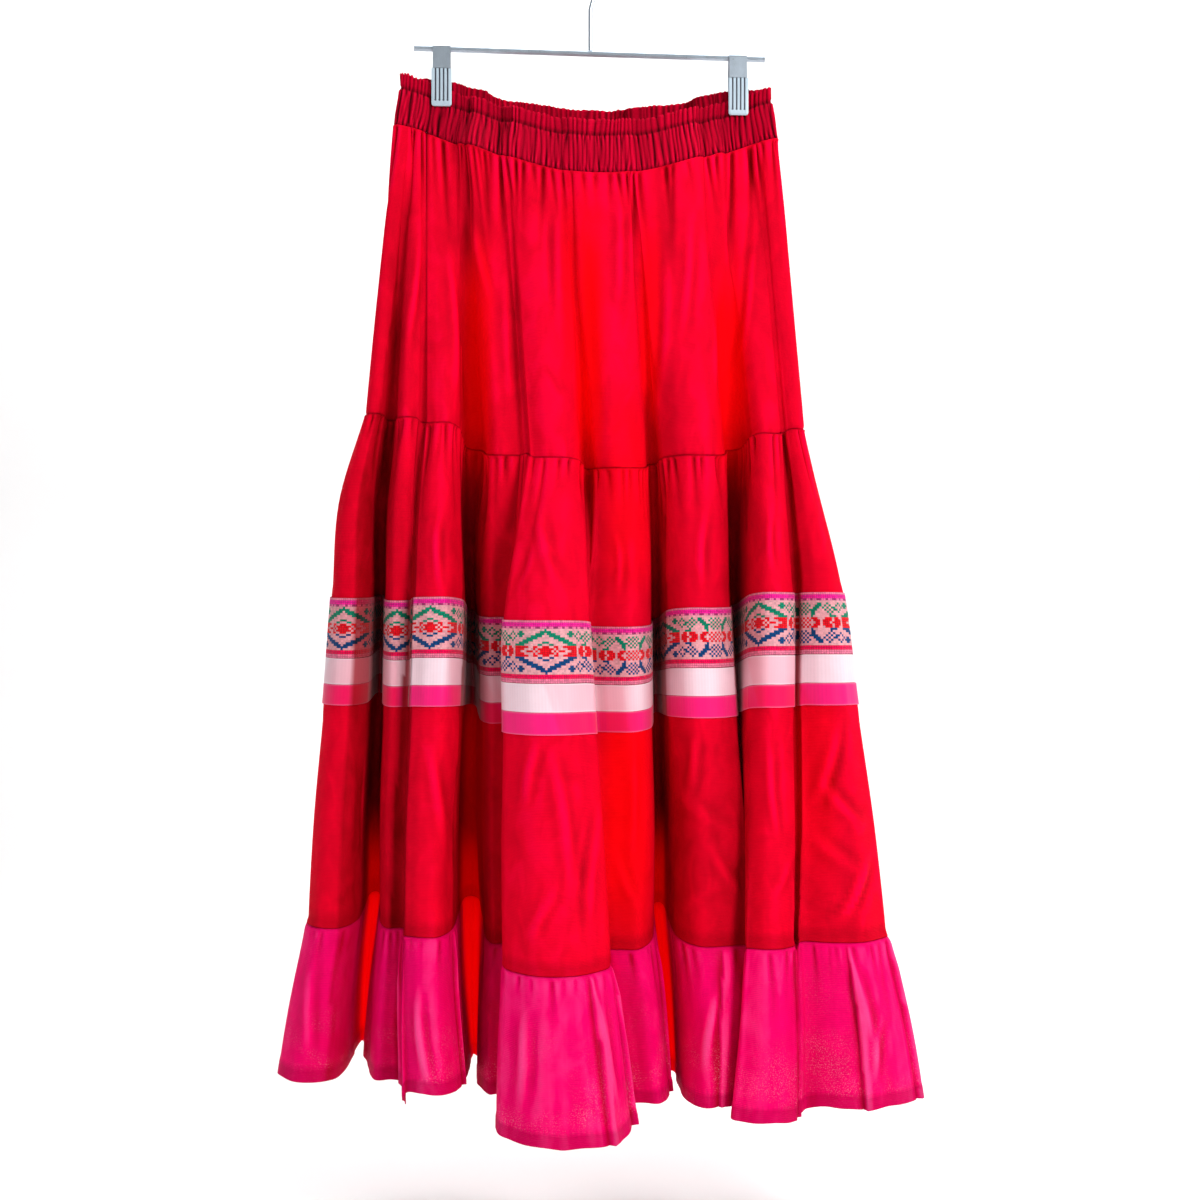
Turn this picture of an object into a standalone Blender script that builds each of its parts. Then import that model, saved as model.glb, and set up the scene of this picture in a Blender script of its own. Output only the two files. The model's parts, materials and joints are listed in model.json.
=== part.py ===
"""A three-tier gathered dance skirt hanging open from a clip hanger. Metres, +Z up, front towards -Y."""
import math
from collections import namedtuple

import bpy
from mathutils import Vector

MM = 0.001

# Cloth and trimming sizes
WALL = 1.2 * MM
BAND_WALL = 1.1 * MM
RIBBON_WALL = 0.9 * MM
SEAM_GAP = 0.3 * MM
CASING_HEIGHT = 33 * MM
HEADING_HEIGHT = 12 * MM
TOP_TAKE_IN = 0.97
GATHER_COUNT = 166
GATHER_RISE = 0.5 * MM
HEADING_GATHER_RISE = 0.8 * MM
WOVEN_WIDTH = 50 * MM
PALE_WIDTH = 22 * MM
HOT_WIDTH = 18 * MM
PLEAT_LAP = 2.4 * MM
PLEAT_TURN = 1.5 * MM

# The line of the waist seam
WAIST_DROP = 163 * MM
WAIST_TILT = 0.012
FRONT_SAG = 44 * MM
BACK_SAG = 15 * MM
SAG_CENTRE = 2 * MM
SAG_REACH = 166 * MM
SAG_POWER = 1.4
YOKE_MIDDLE = 0.45
YOKE_MIDDLE_DEPTH = 0.28

# Hanger sizes
BAR_RADIUS = 2.5 * MM
BAR_LENGTH = 300 * MM
BAR_TILT = math.radians(0.7)
BAR_DROP = 95 * MM
HOOK_WIRE_RADIUS = 1.8 * MM
HOOK_BEND_RADIUS = 19 * MM
HOOK_SIDES = 12
CLIP_X = 126.5 * MM
CLIP_WIDTH = 17 * MM
CLIP_SHEET = 1.4 * MM
CLIP_JAW_Y = 5.2 * MM
CLIP_JAW_HEIGHT = 32 * MM
CLIP_LIP_HEIGHT = 5 * MM
CLIP_GROOVES = 4
CLIP_GROOVE_DEPTH = 0.5 * MM
CLIP_BOTTOM_DROP = 145.3 * MM

# One fold of a cross-section, walked to the right over the front and to the left over the back.
# start and end are its sides in x, crest and valley its depths towards the viewer, both drops are
# measured down from the hook, all in millimetres. The valley is the one that follows the fold.
Fold = namedtuple("Fold", "name start end crest valley crest_drop valley_drop")

# A fold of the waist, where the seam sags in one smooth line: depths at the waist seam and at the top edge
Waist = namedtuple("Waist", "name start end crest valley top_crest top_valley")

WAIST = (
    Waist("A", -166, -155, 9, 9, 6, 5),
    Waist("B", -151, -143, 9, 7, 4, 3),
    Waist("C", -139, -112, 5, 16, 2.2, 4),
    Waist("D", -104, -76, 26, 31, 15, 22),
    Waist("E", -70, -24, 37, 39, 31, 35),
    Waist("F", -18, 30, 41, 38, 37, 34),
    Waist("G", 36, 92, 34, 19, 27, 10),
    Waist("H", 112, 141, 5, 6, 2.2, 3),
    Waist("I", 146, 160, 8, 0, 6, 0),
    Waist("J", 158, 146, -8, -6, -6, -4),
    Waist("K", 141, 112, -5, -18, -2.2, -6),
    Waist("L", 92, 34, -33, -37, -26, -33),
    Waist("M", 26, -20, -40, -38, -36, -34),
    Waist("N", -28, -88, -35, -18, -28, -8),
    Waist("O", -112, -141, -5, -6, -2.2, -3),
    Waist("P", -146, -163, -8, 0, -6, 0),
)
UPPER_SEAM = (
    Fold("A", -190, -175, 12, -5, 405, 409),
    Fold("B", -163, -145, 24, 18, 409, 413),
    Fold("C", -139, -110, 30, -22, 414, 432),
    Fold("D", -90, -58, 30, 34, 441, 440),
    Fold("E", -52, -9, 46, 12, 444, 451),
    Fold("F", 3, 46, 42, 4, 452, 446),
    Fold("G", 58, 114, 40, -12, 441, 432),
    Fold("H", 134, 160, 26, 12, 421, 419),
    Fold("I", 167, 182, 16, 0, 416, 417),
    Fold("J", 184, 166, -28, -20, 418, 420),
    Fold("K", 158, 116, -50, -38, 423, 426),
    Fold("L", 106, 54, -57, -43, 428, 430),
    Fold("M", 42, -12, -60, -45, 431, 431),
    Fold("N", -24, -80, -58, -44, 430, 428),
    Fold("O", -92, -142, -54, -36, 424, 418),
    Fold("P", -152, -184, -42, -14, 412, 408),
)
SHOULDER = (
    Fold("A", -213, -184, 15, -18, 474, 478),
    Fold("B", -172, -149, 24, 20, 478, 480),
    Fold("C", -145, -110, 38, -34, 480, 494),
    Fold("D", -95, -64, 20, 34, 503, 503),
    Fold("E", -63, -8, 62, 30, 506, 510),
    Fold("F", 1, 50, 38, -10, 512, 508),
    Fold("G", 61, 118, 34, -22, 500, 494),
    Fold("H", 132, 166, 32, 10, 484, 482),
    Fold("I", 173, 199, 22, 0, 482, 480),
    Fold("J", 200, 172, -40, -30, 480, 482),
    Fold("K", 161, 116, -72, -52, 486, 488),
    Fold("L", 106, 54, -80, -56, 490, 492),
    Fold("M", 42, -12, -84, -58, 492, 492),
    Fold("N", -24, -80, -80, -56, 490, 488),
    Fold("O", -92, -144, -76, -50, 486, 480),
    Fold("P", -154, -200, -60, -20, 476, 474),
)
TRIM_TOP = (
    Fold("A", -220, -185, 18, -40, 560, 557),
    Fold("B", -175, -150, 20, 28, 562, 560),
    Fold("C", -148, -107, 42, -50, 559, 571),
    Fold("D", -96, -68, 8, 36, 576, 577),
    Fold("E", -74, -5, 80, 45, 578, 581),
    Fold("F", -5, 52, 30, -30, 584, 578),
    Fold("G", 63, 121, 26, -32, 568, 566),
    Fold("H", 132, 171, 36, 8, 555, 556),
    Fold("I", 179, 216, 26, 0, 555, 557),
    Fold("J", 217, 178, -50, -38, 559, 562),
    Fold("K", 166, 114, -96, -66, 566, 568),
    Fold("L", 102, 52, -102, -70, 570, 572),
    Fold("M", 40, -16, -106, -72, 572, 572),
    Fold("N", -28, -80, -102, -70, 570, 568),
    Fold("O", -92, -146, -98, -64, 564, 560),
    Fold("P", -158, -208, -80, -26, 558, 558),
)
LOWER_SEAM = (
    Fold("A", -241, -194, 22, -60, 835, 819),
    Fold("B", -180, -156, 24, 40, 835, 837),
    Fold("C", -156, -113, 60, -66, 836, 825),
    Fold("D", -92, -68, 6, 36, 853, 856),
    Fold("E", -75, 12, 96, 45, 861, 858),
    Fold("F", 7, 56, 22, -54, 856, 830),
    Fold("G", 70, 134, 24, 34, 854, 853),
    Fold("H", 128, 169, 48, 32, 852, 850),
    Fold("I", 173, 252, 44, 0, 848, 846),
    Fold("J", 251, 202, -60, -44, 844, 842),
    Fold("K", 188, 130, -118, -84, 842, 838),
    Fold("L", 116, 60, -126, -88, 840, 838),
    Fold("M", 46, -18, -130, -90, 840, 838),
    Fold("N", -32, -92, -126, -88, 840, 838),
    Fold("O", -106, -164, -120, -84, 838, 834),
    Fold("P", -178, -230, -98, -38, 834, 834),
)
HEM = (
    Fold("A", -263, -204, 20, -64, 963, 949),
    Fold("B", -192, -158, 18, 45, 964, 975),
    Fold("C", -157, -106, 70, -50, 960, 962),
    Fold("D", -95, -72, 22, 60, 976, 984),
    Fold("E", -79, 29, 122, 60, 989, 984),
    Fold("F", 24, 70, 36, -50, 982, 980),
    Fold("G", 80, 124, 40, 46, 984, 988),
    Fold("H", 116, 166, 68, 46, 990, 991),
    Fold("I", 170, 275, 56, 0, 983, 980),
    Fold("J", 274, 218, -66, -46, 976, 972),
    Fold("K", 202, 140, -126, -86, 972, 966),
    Fold("L", 124, 62, -136, -92, 970, 966),
    Fold("M", 46, -20, -142, -94, 970, 966),
    Fold("N", -36, -102, -136, -92, 968, 964),
    Fold("O", -118, -178, -130, -88, 966, 960),
    Fold("P", -194, -252, -106, -42, 962, 962),
)

# Where along a fold each flounce pleat lies, as a share of the columns of that fold
Pleat = namedtuple("Pleat", "fold share")
PLEATS = (
    Pleat("B", 0.45),
    Pleat("C", 0.45),
    Pleat("E", 0.38),
    Pleat("E", 0.62),
    Pleat("F", 0.5),
    Pleat("G", 0.3),
    Pleat("G", 0.5),
    Pleat("H", 0.62),
    Pleat("I", 0.28),
    Pleat("I", 0.5),
    Pleat("J", 0.5),
    Pleat("K", 0.5),
    Pleat("L", 0.5),
    Pleat("M", 0.4),
    Pleat("M", 0.62),
    Pleat("N", 0.5),
    Pleat("O", 0.5),
    Pleat("P", 0.5),
)

FOLD_COLUMNS = 9
FRONT_START = 2 * FOLD_COLUMNS
FRONT_END = 10 * FOLD_COLUMNS
VALLEY_ROUND = 0.12
CREST_ROUND = 0.16
CREST_DROP = 0.09
CREST_INSET = 0.08
CREST_FLAT = 0.33
VALLEY_INSET = 0.15


def mix(a, b, share):
    return a + (b - a) * share


def section(rows, rounding=CREST_DROP):
    """Points of one closed cross-section: flank, shoulder, crest and valley of every fold."""
    points = []
    for i, row in enumerate(rows):
        before = rows[i - 1]
        after = rows[(i + 1) % len(rows)]
        width = row.end - row.start
        gap = after.start - row.end

        def point(x, share, side, drop, lower=0.0):
            y = mix(row.crest, side, share) - lower * width
            points.append(Vector((x, -y, -mix(row.crest_drop, drop, share))) * MM)

        low = 1 - VALLEY_ROUND
        inset = CREST_INSET * width
        flat = CREST_FLAT * width
        point(row.start, 0.5, before.valley, before.valley_drop)
        point(row.start + inset, CREST_ROUND, before.valley, before.valley_drop, rounding)
        point(row.start + flat, 0.0, row.valley, row.valley_drop)
        point(row.end - flat, 0.0, row.valley, row.valley_drop)
        point(row.end - inset, CREST_ROUND, row.valley, row.valley_drop, rounding)
        point(row.end, 0.5, row.valley, row.valley_drop)
        point(row.end + VALLEY_INSET * gap, low, row.valley, row.valley_drop)
        point(row.end + 0.5 * gap, 1.0, row.valley, row.valley_drop)
        drop = mix(row.valley_drop, after.crest_drop, VALLEY_ROUND)
        depth = mix(row.valley, after.crest, VALLEY_ROUND)
        points.append(Vector((after.start - VALLEY_INSET * gap, -depth, -drop)) * MM)
    return points


def waist_drop(x, y):
    """How far below the hook the waist seam hangs: it sags between the clips, more in front."""
    sag = FRONT_SAG if y < 0 else BACK_SAG
    turn = min(abs(x - SAG_CENTRE) / SAG_REACH, 1.0) * 0.5 * math.pi
    return WAIST_DROP + x * WAIST_TILT + sag * math.cos(turn) ** SAG_POWER


def waist_section(rise, share):
    """The waist cross-section, raised by rise and closed towards the clipped top by share."""
    narrow = mix(1.0, TOP_TAKE_IN, share)
    rows = []
    for row in WAIST:
        crest = mix(row.crest, row.top_crest, share)
        valley = mix(row.valley, row.top_valley, share)
        rows.append(Fold(row.name, row.start * narrow, row.end * narrow, crest, valley, 0, 0))
    points = section(rows, 0.0)
    for p in points:
        p.z = rise - waist_drop(p.x, p.y)
    return points


def moved(points, height):
    """The same cross-section higher or lower."""
    return [p + Vector((0, 0, height)) for p in points]


def blend(upper, lower, share):
    return [a.lerp(b, share) for a, b in zip(upper, lower)]


def yoke_middle(upper, lower):
    """The yoke half way down, its folds still shallow."""
    out = blend(upper, lower, YOKE_MIDDLE)
    for p, a, b in zip(out, upper, lower):
        p.y = mix(a.y, b.y, YOKE_MIDDLE_DEPTH)
    return out


def swell(upper, lower, share, width):
    """A cross-section between two others, a little fuller than straight."""
    out = []
    for a, b in zip(upper, lower):
        p = a.lerp(b, share)
        flat = Vector((p.x, p.y, 0))
        out.append(p + flat.normalized() * width * math.sin(math.pi * share))
    return out


def ring_normals(points, closed):
    """Level outward normals of a walked cross-section."""
    count = len(points)
    normals = []
    for i in range(count):
        before = points[(i - 1) % count] if closed or i > 0 else points[i]
        after = points[(i + 1) % count] if closed or i < count - 1 else points[i]
        along = after - before
        normals.append(Vector((along.y, -along.x, 0)).normalized())
    return normals


def surface_normals(rings):
    """Level outward normals of closed rings stacked from top to bottom."""
    last = len(rings) - 1
    count = len(rings[0])
    normals = []
    for r, ring in enumerate(rings):
        line = []
        for c in range(count):
            along = ring[(c + 1) % count] - ring[c - 1]
            down = rings[min(r + 1, last)][c] - rings[max(r - 1, 0)][c]
            normal = down.cross(along)
            normal.z = 0
            line.append(normal.normalized())
        normals.append(line)
    return normals


def part_of(ring, first, last):
    """A run of columns of a ring."""
    return [ring[i % len(ring)].copy() for i in range(first, last + 1)]


def drawn_back(rows):
    """Both ends of every row drawn back by half the seam gap."""
    for row in rows:
        row[0] += (row[1] - row[0]).normalized() * SEAM_GAP * 0.5
        row[-1] += (row[-2] - row[-1]).normalized() * SEAM_GAP * 0.5
    return rows


def sheet_wall(name, rows, normals, inner, outer, material):
    """A closed thin wall between two offsets of a sheet of rows by columns."""
    height = len(rows)
    width = len(rows[0])
    verts = []
    for offset in (outer, inner):
        for row, line in zip(rows, normals):
            verts += [p + n * offset for p, n in zip(row, line)]
    back = height * width
    faces = []
    for r in range(height - 1):
        for c in range(width - 1):
            a = r * width + c
            b = a + width
            faces.append((a, b, b + 1, a + 1))
            faces.append((back + a, back + a + 1, back + b + 1, back + b))
    for c in range(width - 1):
        top = c
        bottom = (height - 1) * width + c
        faces.append((top, top + 1, back + top + 1, back + top))
        faces.append((bottom, back + bottom, back + bottom + 1, bottom + 1))
    for r in range(height - 1):
        left = r * width
        right = left + width - 1
        faces.append((left, back + left, back + left + width, left + width))
        faces.append((right, right + width, back + right + width, back + right))
    return add_mesh(name, verts, faces, material)


def add_mesh(name, verts, faces, material):
    mesh = bpy.data.meshes.new(name)
    mesh.from_pydata([tuple(v) for v in verts], [], faces)
    mesh.materials.append(material)
    mesh.polygons.foreach_set("use_smooth", [True] * len(mesh.polygons))
    mesh.update()
    body = bpy.data.objects.new(name, mesh)
    bpy.context.scene.collection.objects.link(body)
    return body


def plain_material(name, colour, roughness, metallic=0.0):
    material = bpy.data.materials.new(name)
    material.use_nodes = True
    shader = material.node_tree.nodes["Principled BSDF"]
    shader.inputs["Base Color"].default_value = (*colour, 1.0)
    shader.inputs["Roughness"].default_value = roughness
    shader.inputs["Metallic"].default_value = metallic
    material.diffuse_color = (*colour, 1.0)
    return material


def half_panel(name, rings, normals, first, last, material):
    rows = drawn_back([part_of(ring, first, last) for ring in rings])
    lines = [part_of(line, first, last) for line in normals]
    return sheet_wall(name, rows, lines, -0.5 * WALL, 0.5 * WALL, material)


def build_panels(prefix, rings, normals, material):
    """The front and back halves of a tier between the two side seams."""
    rings = list(rings)
    rings[0] = moved(rings[0], -0.5 * SEAM_GAP)
    rings[-1] = moved(rings[-1], 0.5 * SEAM_GAP)
    count = len(rings[0])
    half_panel(prefix + "_front", rings, normals, FRONT_START, FRONT_END, material)
    half_panel(prefix + "_back", rings, normals, FRONT_END, count + FRONT_START, material)


def gathered(rings):
    """Rings cut finer by an even number of steps, their columns turned in and out as gathers."""
    count = len(rings[0])
    lengths = [(rings[-1][(i + 1) % count] - rings[-1][i]).length for i in range(count)]
    total = sum(lengths)
    steps = 2 * GATHER_COUNT
    cuts = []
    walked = 0.0
    for length in lengths:
        first = round(steps * walked / total)
        walked += length
        cuts.append(max(1, round(steps * walked / total) - first))
    fine = []
    for ring in rings:
        line = []
        for i, cut in enumerate(cuts):
            for k in range(cut):
                line.append(ring[i].lerp(ring[(i + 1) % count], k / cut))
        fine.append(line)
    return fine, cuts


def build_waistband(material):
    """Two gathered casings with their heading ruffle."""
    levels = (
        (CASING_HEIGHT + HEADING_HEIGHT, 1.0, HEADING_GATHER_RISE),
        (CASING_HEIGHT, 0.96, GATHER_RISE * 0.5),
        (SEAM_GAP, 0.0, GATHER_RISE),
    )
    rings = [waist_section(rise, share) for rise, share, turn in levels]
    fine, cuts = gathered(rings)
    turned = []
    for ring, (rise, share, turn) in zip(fine, levels):
        normals = ring_normals(ring, True)
        line = []
        for i, (p, n) in enumerate(zip(ring, normals)):
            line.append(p + n * (turn if i % 2 else -turn))
        turned.append(line)
    start = sum(cuts[:FRONT_START])
    end = sum(cuts[:FRONT_END])
    count = len(turned[0])
    normals = surface_normals(fine)
    half = 0.5 * BAND_WALL
    for name, first, last in (("front", start, end), ("back", end, count + start)):
        rows = drawn_back([part_of(ring, first, last) for ring in turned])
        lines = [part_of(line, first, last) for line in normals]
        sheet_wall("waistband_" + name, rows, lines, -half, half, material)


def pleated(rings):
    """Adds two columns at every flounce pleat and steps the cloth out just past it."""
    names = [fold.name for fold in HEM]
    places = [names.index(p.fold) * FOLD_COLUMNS + p.share * FOLD_COLUMNS for p in PLEATS]
    out = [[] for ring in rings]
    count = len(rings[0])
    split = {}
    for i in range(count):
        if i == FRONT_START:
            split["start"] = len(out[0])
        if i == FRONT_END:
            split["end"] = len(out[0])
        for r, ring in enumerate(rings):
            out[r].append(ring[i].copy())
        for place in places:
            if i <= place < i + 1:
                for r, ring in enumerate(rings):
                    a = ring[i]
                    b = ring[(i + 1) % count]
                    along = b - a
                    outward = Vector((along.y, -along.x, 0)).normalized()
                    middle = a.lerp(b, 0.5)
                    step = along.normalized() * PLEAT_TURN * 0.5
                    lap = PLEAT_LAP * mix(0.5, 1.0, r / (len(rings) - 1))
                    out[r].append(middle - step)
                    out[r].append(middle + step + outward * lap)
    return out, split["start"], split["end"]


def build_flounce(upper, lower, material):
    """The pleated hem tier."""
    rings = [upper, swell(upper, lower, 0.5, 1.5 * MM), lower]
    rings[0] = moved(rings[0], -0.5 * SEAM_GAP)
    rings, start, end = pleated(rings)
    count = len(rings[0])
    normals = surface_normals(rings)
    half_panel("flounce_front", rings, normals, start, end, material)
    half_panel("flounce_back", rings, normals, end, count + start, material)


def build_trim(name, rings, normals, gap_share, material):
    """A ribbon made from the tier's own points, moved out, its ends meeting at the left side seam."""
    last = len(rings[0]) + FRONT_START
    rings = (blend(rings[0], rings[1], gap_share), rings[1])
    normals = (blend(normals[0], normals[1], gap_share), normals[1])
    rows = drawn_back([part_of(ring, FRONT_START, last) for ring in rings])
    lines = [part_of(line, FRONT_START, last) for line in normals]
    inner = 0.5 * WALL + SEAM_GAP
    return sheet_wall(name, rows, lines, inner, inner + RIBBON_WALL, material)


def tube(name, path, radius, sides, material):
    """A round bar along a path in the plane of the skirt, closed at both ends."""
    verts = []
    faces = []
    for i, p in enumerate(path):
        along = (path[min(i + 1, len(path) - 1)] - path[max(i - 1, 0)]).normalized()
        across = Vector((0, 1, 0))
        up = across.cross(along)
        for k in range(sides):
            turn = 2 * math.pi * k / sides
            verts.append(p + (across * math.cos(turn) + up * math.sin(turn)) * radius)
    for i in range(len(path) - 1):
        for k in range(sides):
            a = i * sides + k
            b = i * sides + (k + 1) % sides
            faces.append((a, a + sides, b + sides, b))
    faces.append(tuple(range(sides)))
    faces.append(tuple(reversed(range((len(path) - 1) * sides, len(path) * sides))))
    return add_mesh(name, verts, faces, material)


def bar_height(x):
    return -BAR_DROP - x * math.tan(BAR_TILT)


def build_bar(material):
    """The plain steel bar, a little lower on the right."""
    half = 0.5 * BAR_LENGTH
    path = [Vector((x, 0, bar_height(x))) for x in (-half, half)]
    tube("hanger_bar", path, BAR_RADIUS, HOOK_SIDES, material)


def build_hook(material):
    """The wire hook standing on the middle of the bar."""
    top = HOOK_WIRE_RADIUS
    foot = -BAR_DROP + BAR_RADIUS + SEAM_GAP
    path = [Vector((0, 0, foot)), Vector((0, 0, top - 3.1 * HOOK_BEND_RADIUS))]
    centre = top - HOOK_BEND_RADIUS
    steps = 12
    for i in range(steps + 1):
        turn = mix(math.radians(-72), math.radians(188), i / steps)
        x = HOOK_BEND_RADIUS * math.cos(turn)
        path.append(Vector((x, 0, centre + HOOK_BEND_RADIUS * math.sin(turn))))
    tube("hanger_hook", path, HOOK_WIRE_RADIUS, HOOK_SIDES, material)


def extruded(name, outline, place, material):
    """A closed outline of (across, along z) pairs swept through a thickness range in y."""
    verts = [place(x, z, 0) for x, z in outline] + [place(x, z, 1) for x, z in outline]
    count = len(outline)
    faces = [tuple(reversed(range(count))), tuple(range(count, 2 * count))]
    for i in range(count):
        j = (i + 1) % count
        faces.append((i, j, count + j, count + i))
    return add_mesh(name, verts, faces, material)


def clip_bottom(side):
    return -CLIP_BOTTOM_DROP - side * CLIP_X * math.tan(BAR_TILT)


def build_jaw(name, side, material):
    """The grooved front jaw of a clip, its plain lip below the grooves."""
    base = clip_bottom(side)
    half = 0.5 * CLIP_WIDTH
    levels = (
        (base, 0.75, False),
        (base + 1.5 * MM, 1.0, False),
        (base + CLIP_LIP_HEIGHT, 1.0, False),
        (base + CLIP_LIP_HEIGHT + 1 * MM, 1.0, True),
        (base + CLIP_JAW_HEIGHT, 1.0, True),
    )
    columns = [-1.0]
    pitch = 2.0 / (CLIP_GROOVES + 1)
    for g in range(CLIP_GROOVES):
        middle = -1.0 + pitch * (g + 1)
        columns += [middle - 0.07, middle, middle + 0.07]
    columns.append(1.0)
    verts = []
    for back in (False, True):
        for z, share, grooved in levels:
            for c, column in enumerate(columns):
                y = -CLIP_JAW_Y
                if not back:
                    y -= CLIP_SHEET
                    if grooved and c % 3 == 2:
                        y += CLIP_GROOVE_DEPTH
                verts.append((side * CLIP_X + column * half * share, y, z))
    width = len(columns)
    height = len(levels)
    rear = width * height
    faces = []
    for r in range(height - 1):
        for c in range(width - 1):
            a = r * width + c
            faces.append((a, a + 1, a + width + 1, a + width))
            b = rear + a
            faces.append((b, b + width, b + width + 1, b + 1))
    for c in range(width - 1):
        t = (height - 1) * width + c
        faces.append((c, rear + c, rear + c + 1, c + 1))
        faces.append((t, t + 1, rear + t + 1, rear + t))
    for r in range(height - 1):
        a = r * width
        e = a + width - 1
        faces.append((a, a + width, rear + a + width, rear + a))
        faces.append((e, rear + e, rear + e + width, e + width))
    return add_mesh(name, verts, faces, material)


def build_spring(name, side, material):
    """The bent strip that hangs on the bar and carries the back jaw."""
    centre = side * CLIP_X
    half = 0.5 * CLIP_WIDTH - 1 * MM
    bar = bar_height(centre)
    jaw_top = clip_bottom(side) + CLIP_JAW_HEIGHT
    low = clip_bottom(side) + 1 * MM
    inside = BAR_RADIUS + SEAM_GAP
    outside = inside + CLIP_SHEET
    arch = [(math.cos(math.pi * k / 8), math.sin(math.pi * k / 8)) for k in range(9)]
    outline = [(CLIP_JAW_Y, low), (CLIP_JAW_Y + CLIP_SHEET, low)]
    outline += [(CLIP_JAW_Y + CLIP_SHEET, jaw_top)]
    outline += [(outside * c, bar + outside * s) for c, s in arch]
    outline += [(-CLIP_JAW_Y - CLIP_SHEET, jaw_top + SEAM_GAP)]
    outline += [(-CLIP_JAW_Y, jaw_top + SEAM_GAP)]
    outline += [(inside * c, bar + inside * s) for c, s in reversed(arch)]
    outline += [(CLIP_JAW_Y, jaw_top)]
    verts = [(centre - half, y, z) for y, z in outline]
    verts += [(centre + half, y, z) for y, z in outline]
    count = len(outline)
    faces = [tuple(reversed(range(count))), tuple(range(count, 2 * count))]
    for i in range(count):
        j = (i + 1) % count
        faces.append((i, j, count + j, count + i))
    return add_mesh(name, verts, faces, material)


def main():
    for body in list(bpy.data.objects):
        bpy.data.objects.remove(body, do_unlink=True)
    red = plain_material("red_poplin", (0.78, 0.0, 0.03), 0.7)
    crimson = plain_material("crimson_casing", (0.6, 0.0, 0.04), 0.7)
    pink = plain_material("pink_sateen", (0.82, 0.01, 0.2), 0.5)
    woven = plain_material("woven_band", (0.75, 0.35, 0.42), 0.75)
    pale = plain_material("pale_satin", (0.95, 0.6, 0.7), 0.35)
    hot = plain_material("hot_satin", (0.9, 0.03, 0.22), 0.35)
    steel = plain_material("polished_steel", (0.72, 0.68, 0.65), 0.25, 1.0)

    waist = waist_section(0.0, 0.0)
    upper = section(UPPER_SEAM)
    shoulder = section(SHOULDER)
    trim_top = section(TRIM_TOP)
    lower = section(LOWER_SEAM)
    hem = section(HEM)
    reach = (WOVEN_WIDTH + PALE_WIDTH + HOT_WIDTH) / (270 * MM)
    trim_end = blend(trim_top, lower, reach)
    woven_end = blend(trim_top, trim_end, WOVEN_WIDTH / (WOVEN_WIDTH + PALE_WIDTH + HOT_WIDTH))
    pale_share = (WOVEN_WIDTH + PALE_WIDTH) / (WOVEN_WIDTH + PALE_WIDTH + HOT_WIDTH)
    pale_end = blend(trim_top, trim_end, pale_share)

    build_waistband(crimson)
    yoke = [waist, yoke_middle(waist, upper), upper]
    build_panels("yoke", yoke, surface_normals(yoke), red)
    low_tier = swell(trim_end, lower, 0.5, 1.5 * MM)
    tier = [upper, shoulder, trim_top, woven_end, pale_end, trim_end, low_tier, lower]
    normals = surface_normals(tier)
    build_panels("tier", tier, normals, red)
    build_flounce(lower, hem, pink)
    build_trim("trim_woven", tier[2:4], normals[2:4], 0.0, woven)
    build_trim("ribbon_pale", tier[3:5], normals[3:5], SEAM_GAP / PALE_WIDTH, pale)
    build_trim("ribbon_hot", tier[4:6], normals[4:6], SEAM_GAP / HOT_WIDTH, hot)
    build_bar(steel)
    build_hook(steel)
    build_jaw("clip_left_jaw", -1, steel)
    build_jaw("clip_right_jaw", 1, steel)
    build_spring("clip_left_spring", -1, steel)
    build_spring("clip_right_spring", 1, steel)


main()
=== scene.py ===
import json
import math
from collections import namedtuple

import bmesh
import bpy
import numpy as np
from bpy.props import FloatProperty, FloatVectorProperty, IntProperty, PointerProperty
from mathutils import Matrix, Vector

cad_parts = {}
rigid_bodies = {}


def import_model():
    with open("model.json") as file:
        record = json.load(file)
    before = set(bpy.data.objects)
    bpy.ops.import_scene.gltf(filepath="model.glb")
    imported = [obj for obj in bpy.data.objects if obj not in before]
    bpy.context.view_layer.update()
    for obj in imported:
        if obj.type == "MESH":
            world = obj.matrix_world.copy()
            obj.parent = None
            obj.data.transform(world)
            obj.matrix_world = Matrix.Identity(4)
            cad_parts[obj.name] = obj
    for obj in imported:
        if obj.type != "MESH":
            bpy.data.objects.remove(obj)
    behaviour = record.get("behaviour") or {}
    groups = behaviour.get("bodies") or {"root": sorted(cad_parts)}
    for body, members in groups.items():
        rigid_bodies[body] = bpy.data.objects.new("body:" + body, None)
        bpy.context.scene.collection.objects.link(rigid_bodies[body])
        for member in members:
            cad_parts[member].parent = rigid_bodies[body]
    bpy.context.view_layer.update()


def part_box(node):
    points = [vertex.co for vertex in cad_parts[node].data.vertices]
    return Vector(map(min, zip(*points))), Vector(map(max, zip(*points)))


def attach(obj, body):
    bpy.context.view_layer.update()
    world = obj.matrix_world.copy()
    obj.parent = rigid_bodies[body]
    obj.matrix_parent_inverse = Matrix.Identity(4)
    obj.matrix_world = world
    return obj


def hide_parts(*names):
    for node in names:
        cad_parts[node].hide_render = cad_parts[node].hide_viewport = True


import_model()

bl_info = {
    "name": "Tiered dance skirt",
    "version": (1, 0, 0),
    "blender": (4, 5, 0),
    "location": "View3D > Sidebar > Skirt",
    "description": "Dresses a tiered ribbon skirt that hangs in folds from a clip hanger",
    "category": "Object",
}

MM = 0.001

# The same cross-sections as the solids: start and end in x, crest and valley as depths towards
# the viewer, drops below the hook, all in millimetres. The valley follows its fold. At the waist
# the last two are the depths at the clipped top edge.
Fold = namedtuple("Fold", "name start end crest valley crest_drop valley_drop")
Waist = namedtuple("Waist", "name start end crest valley top_crest top_valley")
FOLD_NAMES = "ABCDEFGHIJKLMNOP"


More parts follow.
